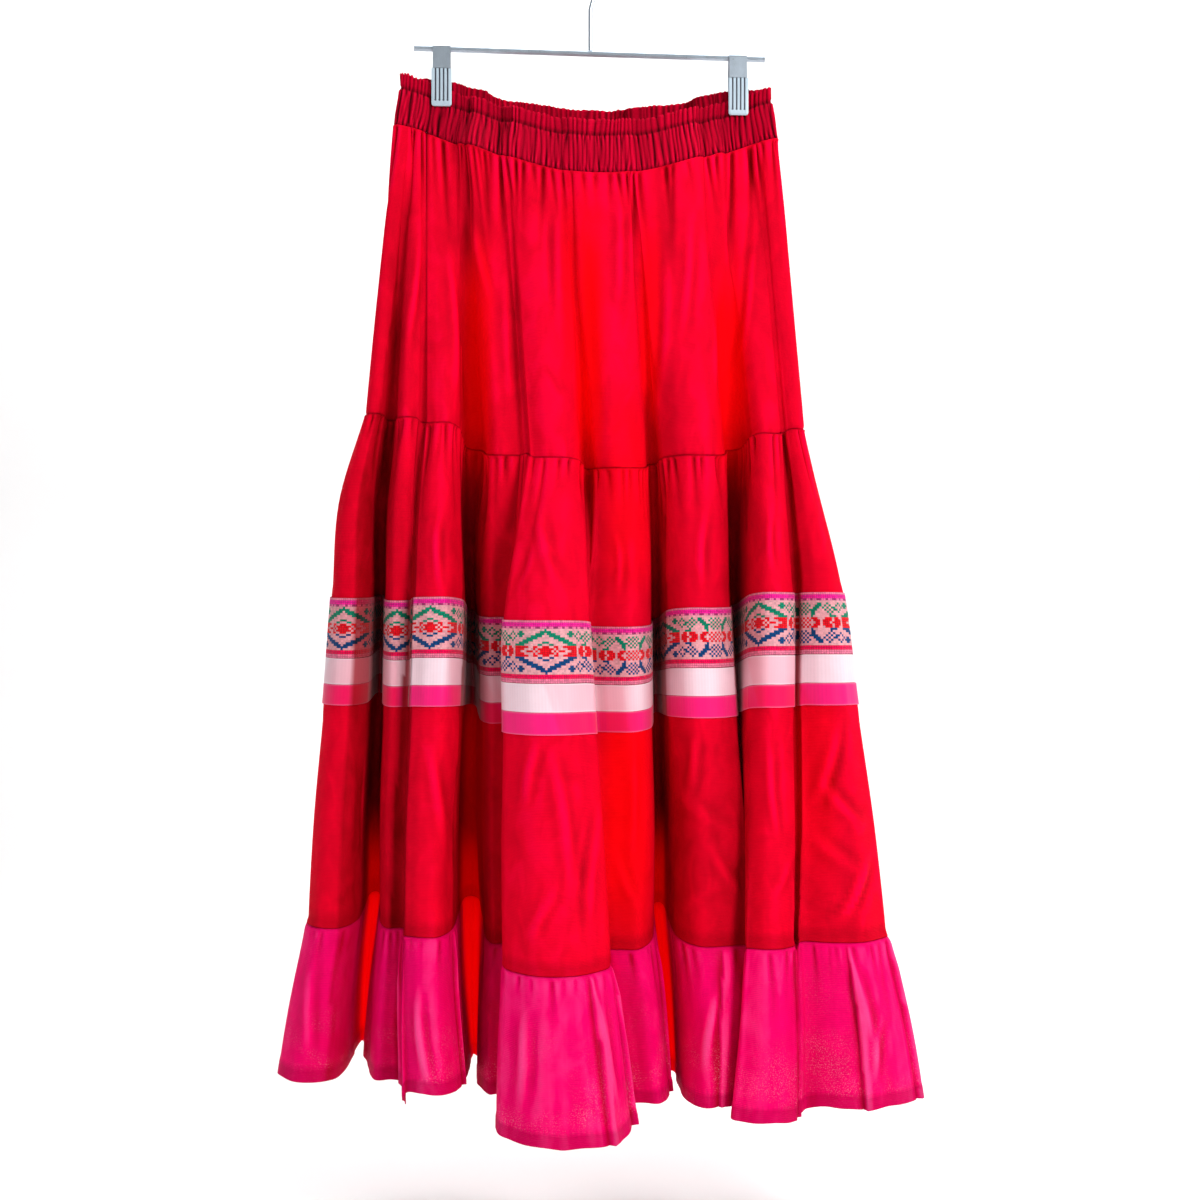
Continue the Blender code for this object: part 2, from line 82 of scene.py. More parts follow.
def folds(*rows, kind=Fold):
    """A table of folds, lettered in the order in which they lie round the skirt."""
    return [kind(name, *row) for name, row in zip(FOLD_NAMES, rows)]


WAIST = folds(
    (-166, -155, 9, 9, 6, 5),
    (-151, -143, 9, 7, 4, 3),
    (-139, -112, 5, 16, 2.2, 4),
    (-104, -76, 26, 31, 15, 22),
    (-70, -24, 37, 39, 31, 35),
    (-18, 30, 41, 38, 37, 34),
    (36, 92, 34, 19, 27, 10),
    (112, 141, 5, 6, 2.2, 3),
    (146, 160, 8, 0, 6, 0),
    (158, 146, -8, -6, -6, -4),
    (141, 112, -5, -18, -2.2, -6),
    (92, 34, -33, -37, -26, -33),
    (26, -20, -40, -38, -36, -34),
    (-28, -88, -35, -18, -28, -8),
    (-112, -141, -5, -6, -2.2, -3),
    (-146, -163, -8, 0, -6, 0),
    kind=Waist,
)
UPPER_SEAM = folds(
    (-190, -175, 12, -5, 405, 409),
    (-163, -145, 24, 18, 409, 413),
    (-139, -110, 30, -22, 414, 432),
    (-90, -58, 30, 34, 441, 440),
    (-52, -9, 46, 12, 444, 451),
    (3, 46, 42, 4, 452, 446),
    (58, 114, 40, -12, 441, 432),
    (134, 160, 26, 12, 421, 419),
    (167, 182, 16, 0, 416, 417),
    (184, 166, -28, -20, 418, 420),
    (158, 116, -50, -38, 423, 426),
    (106, 54, -57, -43, 428, 430),
    (42, -12, -60, -45, 431, 431),
    (-24, -80, -58, -44, 430, 428),
    (-92, -142, -54, -36, 424, 418),
    (-152, -184, -42, -14, 412, 408),
)
SHOULDER = folds(
    (-213, -184, 15, -18, 474, 478),
    (-172, -149, 24, 20, 478, 480),
    (-145, -110, 38, -34, 480, 494),
    (-95, -64, 20, 34, 503, 503),
    (-63, -8, 62, 30, 506, 510),
    (1, 50, 38, -10, 512, 508),
    (61, 118, 34, -22, 500, 494),
    (132, 166, 32, 10, 484, 482),
    (173, 199, 22, 0, 482, 480),
    (200, 172, -40, -30, 480, 482),
    (161, 116, -72, -52, 486, 488),
    (106, 54, -80, -56, 490, 492),
    (42, -12, -84, -58, 492, 492),
    (-24, -80, -80, -56, 490, 488),
    (-92, -144, -76, -50, 486, 480),
    (-154, -200, -60, -20, 476, 474),
)
TRIM_TOP = folds(
    (-220, -185, 18, -40, 560, 557),
    (-175, -150, 20, 28, 562, 560),
    (-148, -107, 42, -50, 559, 571),
    (-96, -68, 8, 36, 576, 577),
    (-74, -5, 80, 45, 578, 581),
    (-5, 52, 30, -30, 584, 578),
    (63, 121, 26, -32, 568, 566),
    (132, 171, 36, 8, 555, 556),
    (179, 216, 26, 0, 555, 557),
    (217, 178, -50, -38, 559, 562),
    (166, 114, -96, -66, 566, 568),
    (102, 52, -102, -70, 570, 572),
    (40, -16, -106, -72, 572, 572),
    (-28, -80, -102, -70, 570, 568),
    (-92, -146, -98, -64, 564, 560),
    (-158, -208, -80, -26, 558, 558),
)
LOWER_SEAM = folds(
    (-241, -194, 22, -60, 835, 819),
    (-180, -156, 24, 40, 835, 837),
    (-156, -113, 60, -66, 836, 825),
    (-92, -68, 6, 36, 853, 856),
    (-75, 12, 96, 45, 861, 858),
    (7, 56, 22, -54, 856, 830),
    (70, 134, 24, 34, 854, 853),
    (128, 169, 48, 32, 852, 850),
    (173, 252, 44, 0, 848, 846),
    (251, 202, -60, -44, 844, 842),
    (188, 130, -118, -84, 842, 838),
    (116, 60, -126, -88, 840, 838),
    (46, -18, -130, -90, 840, 838),
    (-32, -92, -126, -88, 840, 838),
    (-106, -164, -120, -84, 838, 834),
    (-178, -230, -98, -38, 834, 834),
)
HEM = folds(
    (-263, -204, 20, -64, 963, 949),
    (-192, -158, 18, 45, 964, 975),
    (-157, -106, 70, -50, 960, 962),
    (-95, -72, 22, 60, 976, 984),
    (-79, 29, 122, 60, 989, 984),
    (24, 70, 36, -50, 982, 980),
    (80, 124, 40, 46, 984, 988),
    (116, 166, 68, 46, 990, 991),
    (170, 275, 56, 0, 983, 980),
    (274, 218, -66, -46, 976, 972),
    (202, 140, -126, -86, 972, 966),
    (124, 62, -136, -92, 970, 966),
    (46, -20, -142, -94, 970, 966),
    (-36, -102, -136, -92, 968, 964),
    (-118, -178, -130, -88, 966, 960),
    (-194, -252, -106, -42, 962, 962),
)
FOLD_COLUMNS = 9
FRONT_START = 2 * FOLD_COLUMNS
FRONT_END = 10 * FOLD_COLUMNS
RING_COLUMNS = 16 * FOLD_COLUMNS
VALLEY_ROUND = 0.12
CREST_ROUND = 0.16
CREST_DROP = 0.09
CREST_INSET = 0.08
CREST_FLAT = 0.33
VALLEY_INSET = 0.15

WAIST_DROP = 163 * MM
WAIST_TILT = 0.012
FRONT_SAG = 44 * MM
BACK_SAG = 15 * MM
SAG_CENTRE = 2 * MM
SAG_REACH = 166 * MM
SAG_POWER = 1.4
YOKE_MIDDLE = 0.45
YOKE_MIDDLE_DEPTH = 0.28
TOP_TAKE_IN = 0.97
TRIM_LENGTH = 90 * MM
TIER_BELOW_TRIM_TOP = 270 * MM

# Half the gap at a seam and at the sides, the dent along the sides, and how far the lower tiers
# swell out
SEAM_GAP = 0.15 * MM
SIDE_GAP = 0.03 * MM
SIDE_GROOVE = 0.6 * MM
FULLNESS = 1.5 * MM

SHEET_THICKNESS = 0.6 * MM
TRIM_THICKNESS = 0.45 * MM
TRIM_LIFT = 1.2 * MM
RIBBON_COLUMNS = 1000
RIPPLE_VALUES = 4096

# Columns and rows of each front panel's sheet; a back panel has fewer, by its share in HALVES
WAISTBAND_GRID = (900, 26)
YOKE_GRID = (620, 56)
TIER_GRID = (500, 94)
FLOUNCE_GRID = (860, 44)

# How openness looks round itself: columns, the broad shape's window, and steps to each side
OPEN_COLUMNS = 720
OPEN_WINDOW = 101
OPEN_REACH = 48

# Gathers: lengths as shares of their reach, how often each comes, and how far one spreads
GATHER_LENGTHS = (0.3, 0.6, 1.0, 1.7)
GATHER_CHANCES = (0.3, 0.35, 0.25, 0.1)
GATHER_SPREAD = 45 * MM

# Clips: rounding of the plates' and pins' edges
PLATE_EDGE = 0.18 * MM
PIN_EDGE = 0.12 * MM
PIN_LENGTH = 0.6 * MM
SMOOTH_ANGLE = math.radians(35)

# Stage, in metres from the hook
FLOOR_HEIGHT = -1.12
WALL_PLACE = 2.2
WALL_RISE = 4.2
SWEEP_SIZE = (10.0, WALL_PLACE + 4.0, 1.0)
SWEEP_ROUND = 0.8
LIGHT_AIM = (0.0, 0.0, -0.55)
CAMERA_ASIDE = 0.0082
CAMERA_HEIGHT = -0.5616

# Flounce pleats: the fold each lies on, where along its columns, and its height in millimetres
Pleat = namedtuple("Pleat", "fold share lap")
PLEATS = (
    Pleat("B", 0.45, 2.2),
    Pleat("C", 0.45, 1.6),
    Pleat("E", 0.38, 2.6),
    Pleat("E", 0.62, 2.8),
    Pleat("F", 0.5, 1.8),
    Pleat("G", 0.3, 2.2),
    Pleat("G", 0.5, 2.2),
    Pleat("H", 0.62, 2.2),
    Pleat("I", 0.28, 2.6),
    Pleat("I", 0.5, 2.4),
    Pleat("J", 0.5, 2.2),
    Pleat("K", 0.5, 2.4),
    Pleat("L", 0.5, 2.2),
    Pleat("M", 0.4, 2.4),
    Pleat("M", 0.62, 2.0),
    Pleat("N", 0.5, 2.6),
    Pleat("O", 0.5, 2.2),
    Pleat("P", 0.5, 2.0),
)

# Creases laid on the cloth: centre x and drop, turn from upright in degrees, half length
# and half width in millimetres, height out of the cloth (a trough is negative)
Crease = namedtuple("Crease", "side x drop turn reach width height")
FRONT_CREASES = (
    (-150, 300, 4, 70, 5, 1.2),
    (-118, 330, -3, 80, 6, 1.6),
    (-96, 262, -10, 60, 5, 1.4),
    (-70, 350, -5, 75, 7, 1.5),
    (-34, 280, 3, 60, 6, -1.2),
    (-8, 330, -2, 90, 8, 1.4),
    (22, 268, 5, 60, 6, 1.3),
    (52, 340, 4, 80, 7, -1.4),
    (78, 290, 8, 60, 6, 1.4),
    (104, 350, 6, 60, 6, 1.5),
    (128, 300, 9, 80, 5, -1.3),
    (-128, 520, 5, 34, 5, 1.4),
    (-40, 520, -8, 40, 7, 1.6),
    (-62, 535, 12, 26, 5, -1.2),
    (20, 530, -6, 30, 5, 1.2),
    (92, 520, 6, 36, 6, 1.5),
    (150, 510, -5, 30, 5, 1.3),
    (88, 545, 72, 20, 4, 1.0),
    (-205, 740, 6, 60, 7, 1.5),
    (-212, 800, 55, 26, 5, 1.2),
    (-130, 730, -6, 60, 7, 1.6),
    (-52, 700, 14, 34, 6, 1.5),
    (-30, 735, -9, 70, 8, 1.8),
    (-8, 780, 6, 60, 6, -1.4),
    (-44, 810, 20, 32, 6, 1.2),
    (34, 730, 5, 60, 7, 1.5),
    (30, 800, -28, 28, 5, 1.2),
    (84, 700, 10, 36, 6, 1.4),
    (98, 745, -52, 36, 6, 1.6),
    (112, 790, -38, 34, 6, 1.5),
    (92, 812, 64, 22, 5, 1.2),
    (150, 720, -8, 50, 6, 1.5),
    (158, 790, 24, 30, 6, 1.3),
    (196, 700, 16, 50, 7, 1.8),
    (212, 735, -46, 34, 6, 1.7),
    (206, 775, -58, 36, 6, 1.6),
    (222, 800, 30, 34, 6, 1.6),
    (190, 815, 74, 26, 5, 1.2),
    (222, 900, -12, 50, 7, 2.0),
    (236, 935, 16, 30, 6, 1.6),
    (6, 920, -14, 48, 7, 2.2),
    (-60, 925, 8, 46, 7, 1.8),
    (-235, 900, 6, 50, 7, 1.6),
    (-140, 915, -6, 44, 6, 1.8),
    (100, 920, 6, 44, 6, 1.6),
)
BACK_CREASES = (
    (-120, 320, 5, 80, 7, 1.5),
    (-60, 290, -4, 70, 7, -1.4),
    (0, 330, 3, 80, 8, 1.5),
    (66, 300, -6, 70, 7, 1.5),
    (120, 340, 5, 70, 7, -1.3),
    (-110, 520, 6, 36, 6, 1.5),
    (-10, 530, -5, 36, 6, 1.5),
    (88, 520, 7, 34, 6, 1.4),
    (-190, 720, 8, 60, 7, 1.6),
    (-130, 760, -30, 36, 6, 1.6),
    (-60, 730, 6, 60, 7, 1.6),
    (-44, 800, 56, 28, 5, 1.3),
    (20, 740, -8, 60, 7, 1.7),
    (86, 760, 34, 34, 6, 1.5),
    (150, 730, -7, 56, 7, 1.6),
    (160, 800, -52, 30, 6, 1.4),
    (-150, 910, 8, 46, 7, 1.9),
    (-20, 915, -6, 46, 7, 1.8),
    (94, 905, 8, 46, 7, 1.8),
    (214, 900, -10, 46, 7, 1.8),
)
CREASES = [Crease("front", *row) for row in FRONT_CREASES]
CREASES += [Crease("back", *row) for row in BACK_CREASES]

# The woven band, a quarter of its repeat: rows count from the middle, columns from the middle of
# the large diamond to the middle of the checked block. Thread "edge" is green above, blue below.
Woven = namedtuple("Woven", "row thread spans")
WOVEN_CHART = (
    Woven(10, "edge", ((0, 0),)),
    Woven(9, "edge", ((0, 2), (11, 12), (16, 16), (21, 21), (24, 25), (30, 30), (32, 32))),
    Woven(8, "edge", ((1, 4), (10, 13), (15, 15), (17, 17), (20, 20), (22, 22), (24, 26), (29, 29), (31, 31))),
    Woven(7, "edge", ((2, 6), (11, 12), (14, 14), (18, 19), (21, 21), (23, 23), (25, 27), (30, 30), (32, 32))),
    Woven(6, "edge", ((4, 8), (15, 15), (17, 18), (20, 20), (22, 22), (26, 28), (29, 29), (31, 31))),
    Woven(5, "edge", ((6, 10), (16, 16), (19, 19), (21, 21), (27, 28), (30, 30), (32, 32))),
    Woven(4, "edge", ((0, 1), (8, 12), (20, 20), (27, 28), (31, 31))),
    Woven(3, "edge", ((2, 3), (10, 14), (18, 20), (28, 28))),
    Woven(2, "middle", ((0, 1), (4, 5), (8, 14), (17, 18), (20, 22), (26, 28), (30, 30), (32, 32))),
    Woven(1, "middle", ((0, 3), (5, 5), (10, 14), (16, 18), (20, 23), (25, 27), (29, 29), (31, 31))),
    Woven(0, "middle", ((0, 2), (4, 4), (6, 8), (12, 14), (16, 19), (21, 23), (25, 26), (30, 30), (32, 32))),
)
WOVEN_HALF = 32
WOVEN_ROWS_EACH_SIDE = 10

# How the band's repeat runs round the tier: millimetres walked from the first column, and
# millimetres of band used up to there, from the middle of a large diamond
Run = namedtuple("Run", "walked used")
WOVEN_RUNS = (
    Run(196, -17),
    Run(255, 42),
    Run(366, 117),
    Run(400, 151),
    Run(448, 176),
    Run(542, 270),
    Run(575, 357),
    Run(640, 422),
    Run(700, 551),
    Run(800, 651),
    Run(868, 754),
    Run(940, 826),
    Run(958, 832),
    Run(1782, 1641),
    Run(1852, 1711),
    Run(1939, 1770),
    Run(1988.5, 1819.5),
)

# Painted glow: these patches turn the cloth a purer red and make it emit a little light.
# Where light from behind shows through the front
Glow = namedtuple("Glow", "x drop wide tall strength")
GLOWS = (
    Glow(-3, 345, 12, 110, 1.0),
    Glow(-18, 300, 8, 70, 0.6),
    Glow(-96, 360, 12, 90, 0.95),
    Glow(48, 330, 9, 80, 0.75),
    Glow(118, 365, 14, 85, 0.9),
    Glow(32, 470, 22, 80, 0.55),
    Glow(30, 730, 24, 110, 0.9),
    Glow(34, 800, 18, 50, 0.6),
    Glow(-100, 720, 10, 90, 0.5),
    Glow(188, 700, 18, 90, 0.35),
)

# Painted shade: these patches are subtracted from the front's painted shading.
# Where the front is darker than its folds alone make it
SHADES = (
    Glow(95, 770, 33, 95, 0.3),
    Glow(124, 790, 12, 70, 0.25),
    Glow(-97, 215, 13, 50, 0.35),
    Glow(-48, 205, 20, 42, 0.25),
    Glow(62, 225, 8, 60, 0.35),
    Glow(22, 215, 9, 55, 0.2),
    Glow(-160, 290, 12, 90, 0.25),
    Glow(-166, 470, 10, 60, 0.25),
    Glow(-168, 760, 10, 100, 0.15),
    Glow(-116, 800, 12, 90, 0.12),
    Glow(118, 500, 9, 90, 0.2),
    Glow(146, 230, 10, 60, 0.2),
    Glow(-62, 350, 8, 90, 0.12),
    Glow(62, 400, 8, 50, 0.2),
)

# Stripes of the band from its top edge down, in rows of thread
Stripe = namedtuple("Stripe", "rows thread")
WOVEN_STRIPES = (
    Stripe(1, "selvedge"),
    Stripe(2, "magenta"),
    Stripe(1, "rose"),
    Stripe(21, "ground"),
    Stripe(2, "crimson"),
    Stripe(2, "selvedge"),
)


def mix(a, b, share):
    return a + (b - a) * share


def section(rows, rounding=CREST_DROP):
    """Points of one closed cross-section: flank, shoulder, crest and valley of every fold."""
    points = []
    for i, row in enumerate(rows):
        before = rows[i - 1]
        after = rows[(i + 1) % len(rows)]
        width = row.end - row.start
        gap = after.start - row.end

        def point(x, share, side, drop, lower=0.0):
            y = mix(row.crest, side, share) - lower * width
            points.append((x, -y, -mix(row.crest_drop, drop, share)))

        low = 1 - VALLEY_ROUND
        inset = CREST_INSET * width
        flat = CREST_FLAT * width
        point(row.start, 0.5, before.valley, before.valley_drop)
        point(row.start + inset, CREST_ROUND, before.valley, before.valley_drop, rounding)
        point(row.start + flat, 0.0, row.valley, row.valley_drop)
        point(row.end - flat, 0.0, row.valley, row.valley_drop)
        point(row.end - inset, CREST_ROUND, row.valley, row.valley_drop, rounding)
        point(row.end, 0.5, row.valley, row.valley_drop)
        point(row.end + VALLEY_INSET * gap, low, row.valley, row.valley_drop)
        point(row.end + 0.5 * gap, 1.0, row.valley, row.valley_drop)
        drop = mix(row.valley_drop, after.crest_drop, VALLEY_ROUND)
        depth = mix(row.valley, after.crest, VALLEY_ROUND)
        points.append((after.start - VALLEY_INSET * gap, -depth, -drop))
    return np.array(points) * MM


def waist_section(rise, share):
    """The waist cross-section, raised by rise and closed towards the clipped top by share."""
    narrow = mix(1.0, TOP_TAKE_IN, share)
    rows = []
    for row in WAIST:
        crest = mix(row.crest, row.top_crest, share)
        valley = mix(row.valley, row.top_valley, share)
        rows.append(Fold(row.name, row.start * narrow, row.end * narrow, crest, valley, 0, 0))
    points = section(rows, 0.0)
    sag = np.where(points[:, 1] < 0, FRONT_SAG, BACK_SAG)
    turn = np.minimum(np.abs(points[:, 0] - SAG_CENTRE) / SAG_REACH, 1.0) * 0.5 * math.pi
    points[:, 2] = rise - (WAIST_DROP + points[:, 0] * WAIST_TILT + sag * np.cos(turn) ** SAG_POWER)
    return points


def swell(upper, lower, share, width):
    """A cross-section between two others, a little fuller than straight."""
    points = mix(upper, lower, share)
    flat = points * np.array((1, 1, 0))
    out = flat / np.linalg.norm(flat, axis=1, keepdims=True)
    return points + out * width * math.sin(math.pi * share)


def yoke_middle(upper, lower):
    """The yoke half way down, its folds still shallow."""
    points = mix(upper, lower, YOKE_MIDDLE)
    points[:, 1] = mix(upper[:, 1], lower[:, 1], YOKE_MIDDLE_DEPTH)
    return points


class Cloth:
    """A tube of cloth through stacked cross-sections, read at any column and any depth down it."""

    def __init__(self, rings, reference):
        self.rings = np.array(rings)
        steps = np.linalg.norm(np.diff(self.rings, axis=0), axis=2).mean(axis=1)
        self.knots = np.concatenate(([0.0], np.cumsum(steps)))
        fine = np.linspace(0, RING_COLUMNS, RING_COLUMNS * 16 + 1)
        ring = self.across(self.rings[reference], fine)
        walked = np.linalg.norm(np.diff(ring, axis=0), axis=1)
        self.columns = fine
        self.walked = np.concatenate(([0.0], np.cumsum(walked)))

    @property
    def length(self):
        return self.knots[-1]

    @property
    def round(self):
        return self.walked[-1]

    def across(self, ring, columns):
        """Smooth closed curve through the points of a ring."""
        count = len(ring)
        base = np.floor(columns).astype(int)
        t = (columns - base)[:, None]
        a, b, c, d = (ring[(base + k) % count] for k in (-1, 0, 1, 2))
        return 0.5 * (
            2 * b + (c - a) * t + (2 * a - 5 * b + 4 * c - d) * t**2 + (3 * b - a - 3 * c + d) * t**3
        )

    def ripple(self, seed, count, walked):
        """A smooth uneven value along the cloth, with about count waves in its whole round."""
        return ripple(seed, count, walked, self.round)

    def column_at(self, walked):
        """The column that lies this far round the cloth."""
        turns = np.floor(walked / self.round)
        inside = walked - turns * self.round
        return np.interp(inside, self.walked, self.columns) + turns * RING_COLUMNS

    def walked_at(self, column):
        turns = math.floor(column / RING_COLUMNS)
        inside = column - turns * RING_COLUMNS
        return float(np.interp(inside, self.columns, self.walked)) + turns * self.round

    def points(self, columns, down):
        """Points of every row down the cloth by every column."""
        rings = np.array([self.across(ring, columns) for ring in self.rings])
        slopes = np.gradient(rings, self.knots, axis=0) if len(rings) > 2 else None
        out = []
        for depth in down:
            i = int(np.clip(np.searchsorted(self.knots, depth, "right") - 1, 0, len(rings) - 2))
            step = self.knots[i + 1] - self.knots[i]
            t = (depth - self.knots[i]) / step
            if slopes is None:
                out.append(mix(rings[i], rings[i + 1], t))
                continue
            start = (2 * t**3 - 3 * t**2 + 1) * rings[i] + (t**3 - 2 * t**2 + t) * step * slopes[i]
            end = (3 * t**2 - 2 * t**3) * rings[i + 1] + (t**3 - t**2) * step * slopes[i + 1]
            out.append(start + end)
        return np.array(out)


def level_normals(points):
    along = np.gradient(points, axis=1)
    down = np.gradient(points, axis=0)
    normals = np.cross(down, along)
    normals[..., 2] *= 0.3
    return normals / np.linalg.norm(normals, axis=2, keepdims=True)


def ripple(seed, count, walked, span):
    """A smooth uneven value from -1 to 1 along the cloth, with about count waves in span."""
    values = np.random.RandomState(seed).uniform(-1, 1, RIPPLE_VALUES)
    place = walked / span * count
    base = np.floor(place).astype(int)
    t = place - base
    t = t * t * (3 - 2 * t)
    return mix(values[base % RIPPLE_VALUES], values[(base + 1) % RIPPLE_VALUES], t)


def smooth_step(low, high, value):
    t = np.clip((value - low) / (high - low), 0, 1)
    return t * t * (3 - 2 * t)


def seam_fade(cloth, walked, reach=5 * MM):
    """0 at the two side seams and 1 a little way from them, for relief that both panels share."""
    near = np.full(len(walked), cloth.round)
    for column in (FRONT_START, FRONT_END):
        off = np.abs((walked - cloth.walked_at(column) + 0.5 * cloth.round) % cloth.round - 0.5 * cloth.round)
        near = np.minimum(near, off)
    return smooth_step(0.0, reach, near)


def radiating_gathers(walked, down, seed, pitch, reach, height, fullest):
    """Gathers that leave a seam: narrow troughs of uneven length between rounded ridges."""
    draw = np.random.RandomState(seed)
    out = np.zeros((len(down), len(walked)))
    place = walked.min() - pitch
    bunch = ripple(seed + 50, 18, walked, walked.max() - walked.min())
    while place < walked.max() + pitch:
        tight = 0.75 + 0.4 * np.interp(place, walked, bunch)
        place += pitch * draw.uniform(0.45, 1.5) / tight
        length = reach * draw.choice(GATHER_LENGTHS, p=GATHER_CHANCES) * draw.uniform(0.8, 1.25)
        size = height * draw.uniform(0.45, 1.2)
        lean = draw.uniform(-0.1, 0.1)
        bend = draw.uniform(-0.8, 0.8)
        narrow = draw.uniform(0.8, 1.2) * fullest
        near = np.abs(walked - place) < GATHER_SPREAD
        width = narrow * (1 + 1.6 * down / reach)[:, None]
        wander = lean * down + bend * MM * np.sin(down / (18 * MM))
        offset = walked[near] - place - wander[:, None]
        fade = smooth_step(-1 * MM, 4 * MM, down) * np.exp(-((down / length) ** 1.7))
        out[:, near] -= size * fade[:, None] * np.exp(-np.abs(offset / width) ** 1.5)
    return out + 0.35 * height * np.exp(-down / reach)[:, None]


def puckers(cloth, walked, down, seed):
    """Short shallow dents where stitches draw the cloth in, just above its lower seam."""
    rise = (cloth.length - down)[:, None]
    size = 0.5 + 0.5 * cloth.ripple(seed, 160, walked)
    return -1.1 * MM * size**2 * np.exp(-rise / (9 * MM))


def rows_down(length, count, start=SEAM_GAP, last=SEAM_GAP):
    """Depths of the rows of a piece, close together at its two seams."""
    fine = np.array((0.0, 0.7, 1.5, 2.6, 4.2, 6.4)) * MM
    middle = np.linspace(9 * MM, length - 9 * MM, count - 12)
    return np.concatenate((start + fine, middle, length - last - fine[::-1]))


def openness(cloth, walked, down):
    """From 1 on the crest of a fold to 0 deep between two: how much light reaches each point."""
    count = OPEN_COLUMNS
    ring = cloth.points(cloth.column_at(np.arange(count) / count * cloth.round), down)[..., :2]
    kernel = np.zeros(count)
    kernel[:OPEN_WINDOW] = 1 / OPEN_WINDOW
    kernel = np.roll(kernel, -(OPEN_WINDOW // 2))
    broad = np.fft.irfft(np.fft.rfft(ring, axis=1) * np.fft.rfft(kernel)[None, :, None], count, axis=1)
    tangent = np.roll(broad, -3, axis=1) - np.roll(broad, 3, axis=1)
    tangent /= np.linalg.norm(tangent, axis=2, keepdims=True)
    outward = np.stack((tangent[..., 1], -tangent[..., 0]), axis=2)
    if ((broad - broad.mean(axis=1, keepdims=True)) * outward).sum() < 0:
        outward = -outward
    left = np.zeros(ring.shape[:2])
    right = np.zeros(ring.shape[:2])
    for step in range(1, OPEN_REACH):
        for way in (-step, step):
            gap = np.roll(ring, -way, axis=1) - ring
            side = (gap * tangent).sum(axis=2)
            rise = (gap * outward).sum(axis=2) / np.linalg.norm(gap, axis=2).clip(1e-6)
            rise = np.clip(rise, 0, 1)
            left = np.where(side < 0, np.maximum(left, rise), left)
            right = np.where(side >= 0, np.maximum(right, rise), right)
    value = 1 - 0.5 * (left + right)
    places = np.arange(count + 1) / count * cloth.round
    closed = np.concatenate((value, value[:, :1]), axis=1)
    return np.array([np.interp(walked % cloth.round, places, row) for row in closed])


def hollows(relief, walked, reach):
    """How far each point lies above or below the cloth round it, from about 1 down to -1."""
    width = max(3, int(reach / (walked[1] - walked[0])) | 1)
    padded = np.pad(relief, ((0, 0), (width // 2, width // 2)), mode="edge")
    total = np.cumsum(np.pad(padded, ((0, 0), (1, 0))), axis=1)
    mean = (total[:, width:] - total[:, :-width]) / width
    return np.clip((relief - mean) / MM, -1.5, 1.2)


# Painted shade: the less light reaches a point between the folds, the darker it is drawn, down to deepest.
def painted_fold_shade(cloth, walked, down, deepest):
    return deepest + (1 - deepest) * openness(cloth, walked, down) ** 0.75


def tone(cloth, walked, down, relief, points, normals, reach, gain, deepest):
    """Painted shade and highlight: the cloth is drawn darker deep in folds, between gathers and in the shade
    patches, and lighter on its ridges.
    """
    value = painted_fold_shade(cloth, walked, down, deepest) + gain * hollows(relief, walked, reach)
    return np.clip(value - patches(points, normals, SHADES), 0, 1.6)


def crease_relief(points, normals):
    """How far the listed creases lift or sink each point."""
    out = np.zeros(points.shape[:2])
    for c in CREASES:
        side = normals[..., 1] < -0.2 if c.side == "front" else normals[..., 1] > 0.2
        turn = math.radians(c.turn)
        x = points[..., 0] - c.x * MM
        z = points[..., 2] + c.drop * MM
        along = z * math.cos(turn) + x * math.sin(turn)
        off = x * math.cos(turn) - z * math.sin(turn)
        wander = 2.5 * MM * np.sin(along / (c.reach * MM) * 2.1 + c.x)
        place = (off - wander) / (0.6 * c.width * MM * (1 + 0.7 * abs(math.sin(turn))))
        shape = 1.5 * np.exp(-(place**2)) - 1.1 * np.exp(-((place - 1.7) ** 2))
        taper = np.clip(1 - (along / (c.reach * MM)) ** 2, 0, 1) ** 1.5
        out += side * shape * taper * c.height * MM
    return out


def grid_mesh(name, points, across, down, marks, thickness=SHEET_THICKNESS, laid=False):
    """A sheet of cloth from rows of points, with its flat place as UVs, made a thin shell.

    A trim laid on another cloth has its face and turned edges only."""
    height, width = points.shape[:2]
    mesh = bpy.data.meshes.new(name)
    r, c = np.mgrid[0 : height - 1, 0 : width - 1]
    a = (r * width + c).ravel()
    corners = np.stack((a, a + width, a + width + 1, a + 1), axis=1)
    mesh.vertices.add(height * width)
    mesh.vertices.foreach_set("co", points.reshape(-1))
    mesh.loops.add(corners.size)
    mesh.loops.foreach_set("vertex_index", corners.ravel())
    mesh.polygons.add(len(corners))
    mesh.polygons.foreach_set("loop_start", np.arange(len(corners)) * 4)
    mesh.update(calc_edges=True)
    mesh.polygons.foreach_set("use_smooth", np.ones(len(corners), bool))
    flat = np.stack(np.meshgrid(across, down), axis=-1).reshape(-1, 2)
    layer = mesh.uv_layers.new(name="UVMap")
    layer.data.foreach_set("uv", flat[corners.ravel()].ravel())
    for mark, values in marks.items():
        attribute = mesh.attributes.new(mark, "FLOAT", "POINT")
        attribute.data.foreach_set("value", values.ravel())
    piece = bpy.data.objects.new(name, mesh)
    bpy.context.scene.collection.objects.link(piece)
    wall = piece.modifiers.new("Wall", "SOLIDIFY")
    wall.thickness = thickness
    wall.offset = -1
    wall.use_rim = True
    wall.use_rim_only = laid
    bpy.ops.object.select_all(action="DESELECT")
    bpy.context.view_layer.objects.active = piece
    piece.select_set(True)
    bpy.ops.object.modifier_apply(modifier="Wall")
    return piece


def even_columns(cloth, first, last, count):
    """Column numbers an even distance apart round the cloth, and how far round each lies."""
    start = cloth.walked_at(first)
    end = cloth.walked_at(last)
    walked = np.linspace(start + SIDE_GAP, end - SIDE_GAP, count)
    return cloth.column_at(walked), walked


HALVES = (
    ("front", FRONT_START, FRONT_END, 1.0),
    ("back", FRONT_END, RING_COLUMNS + FRONT_START, 0.7),
)


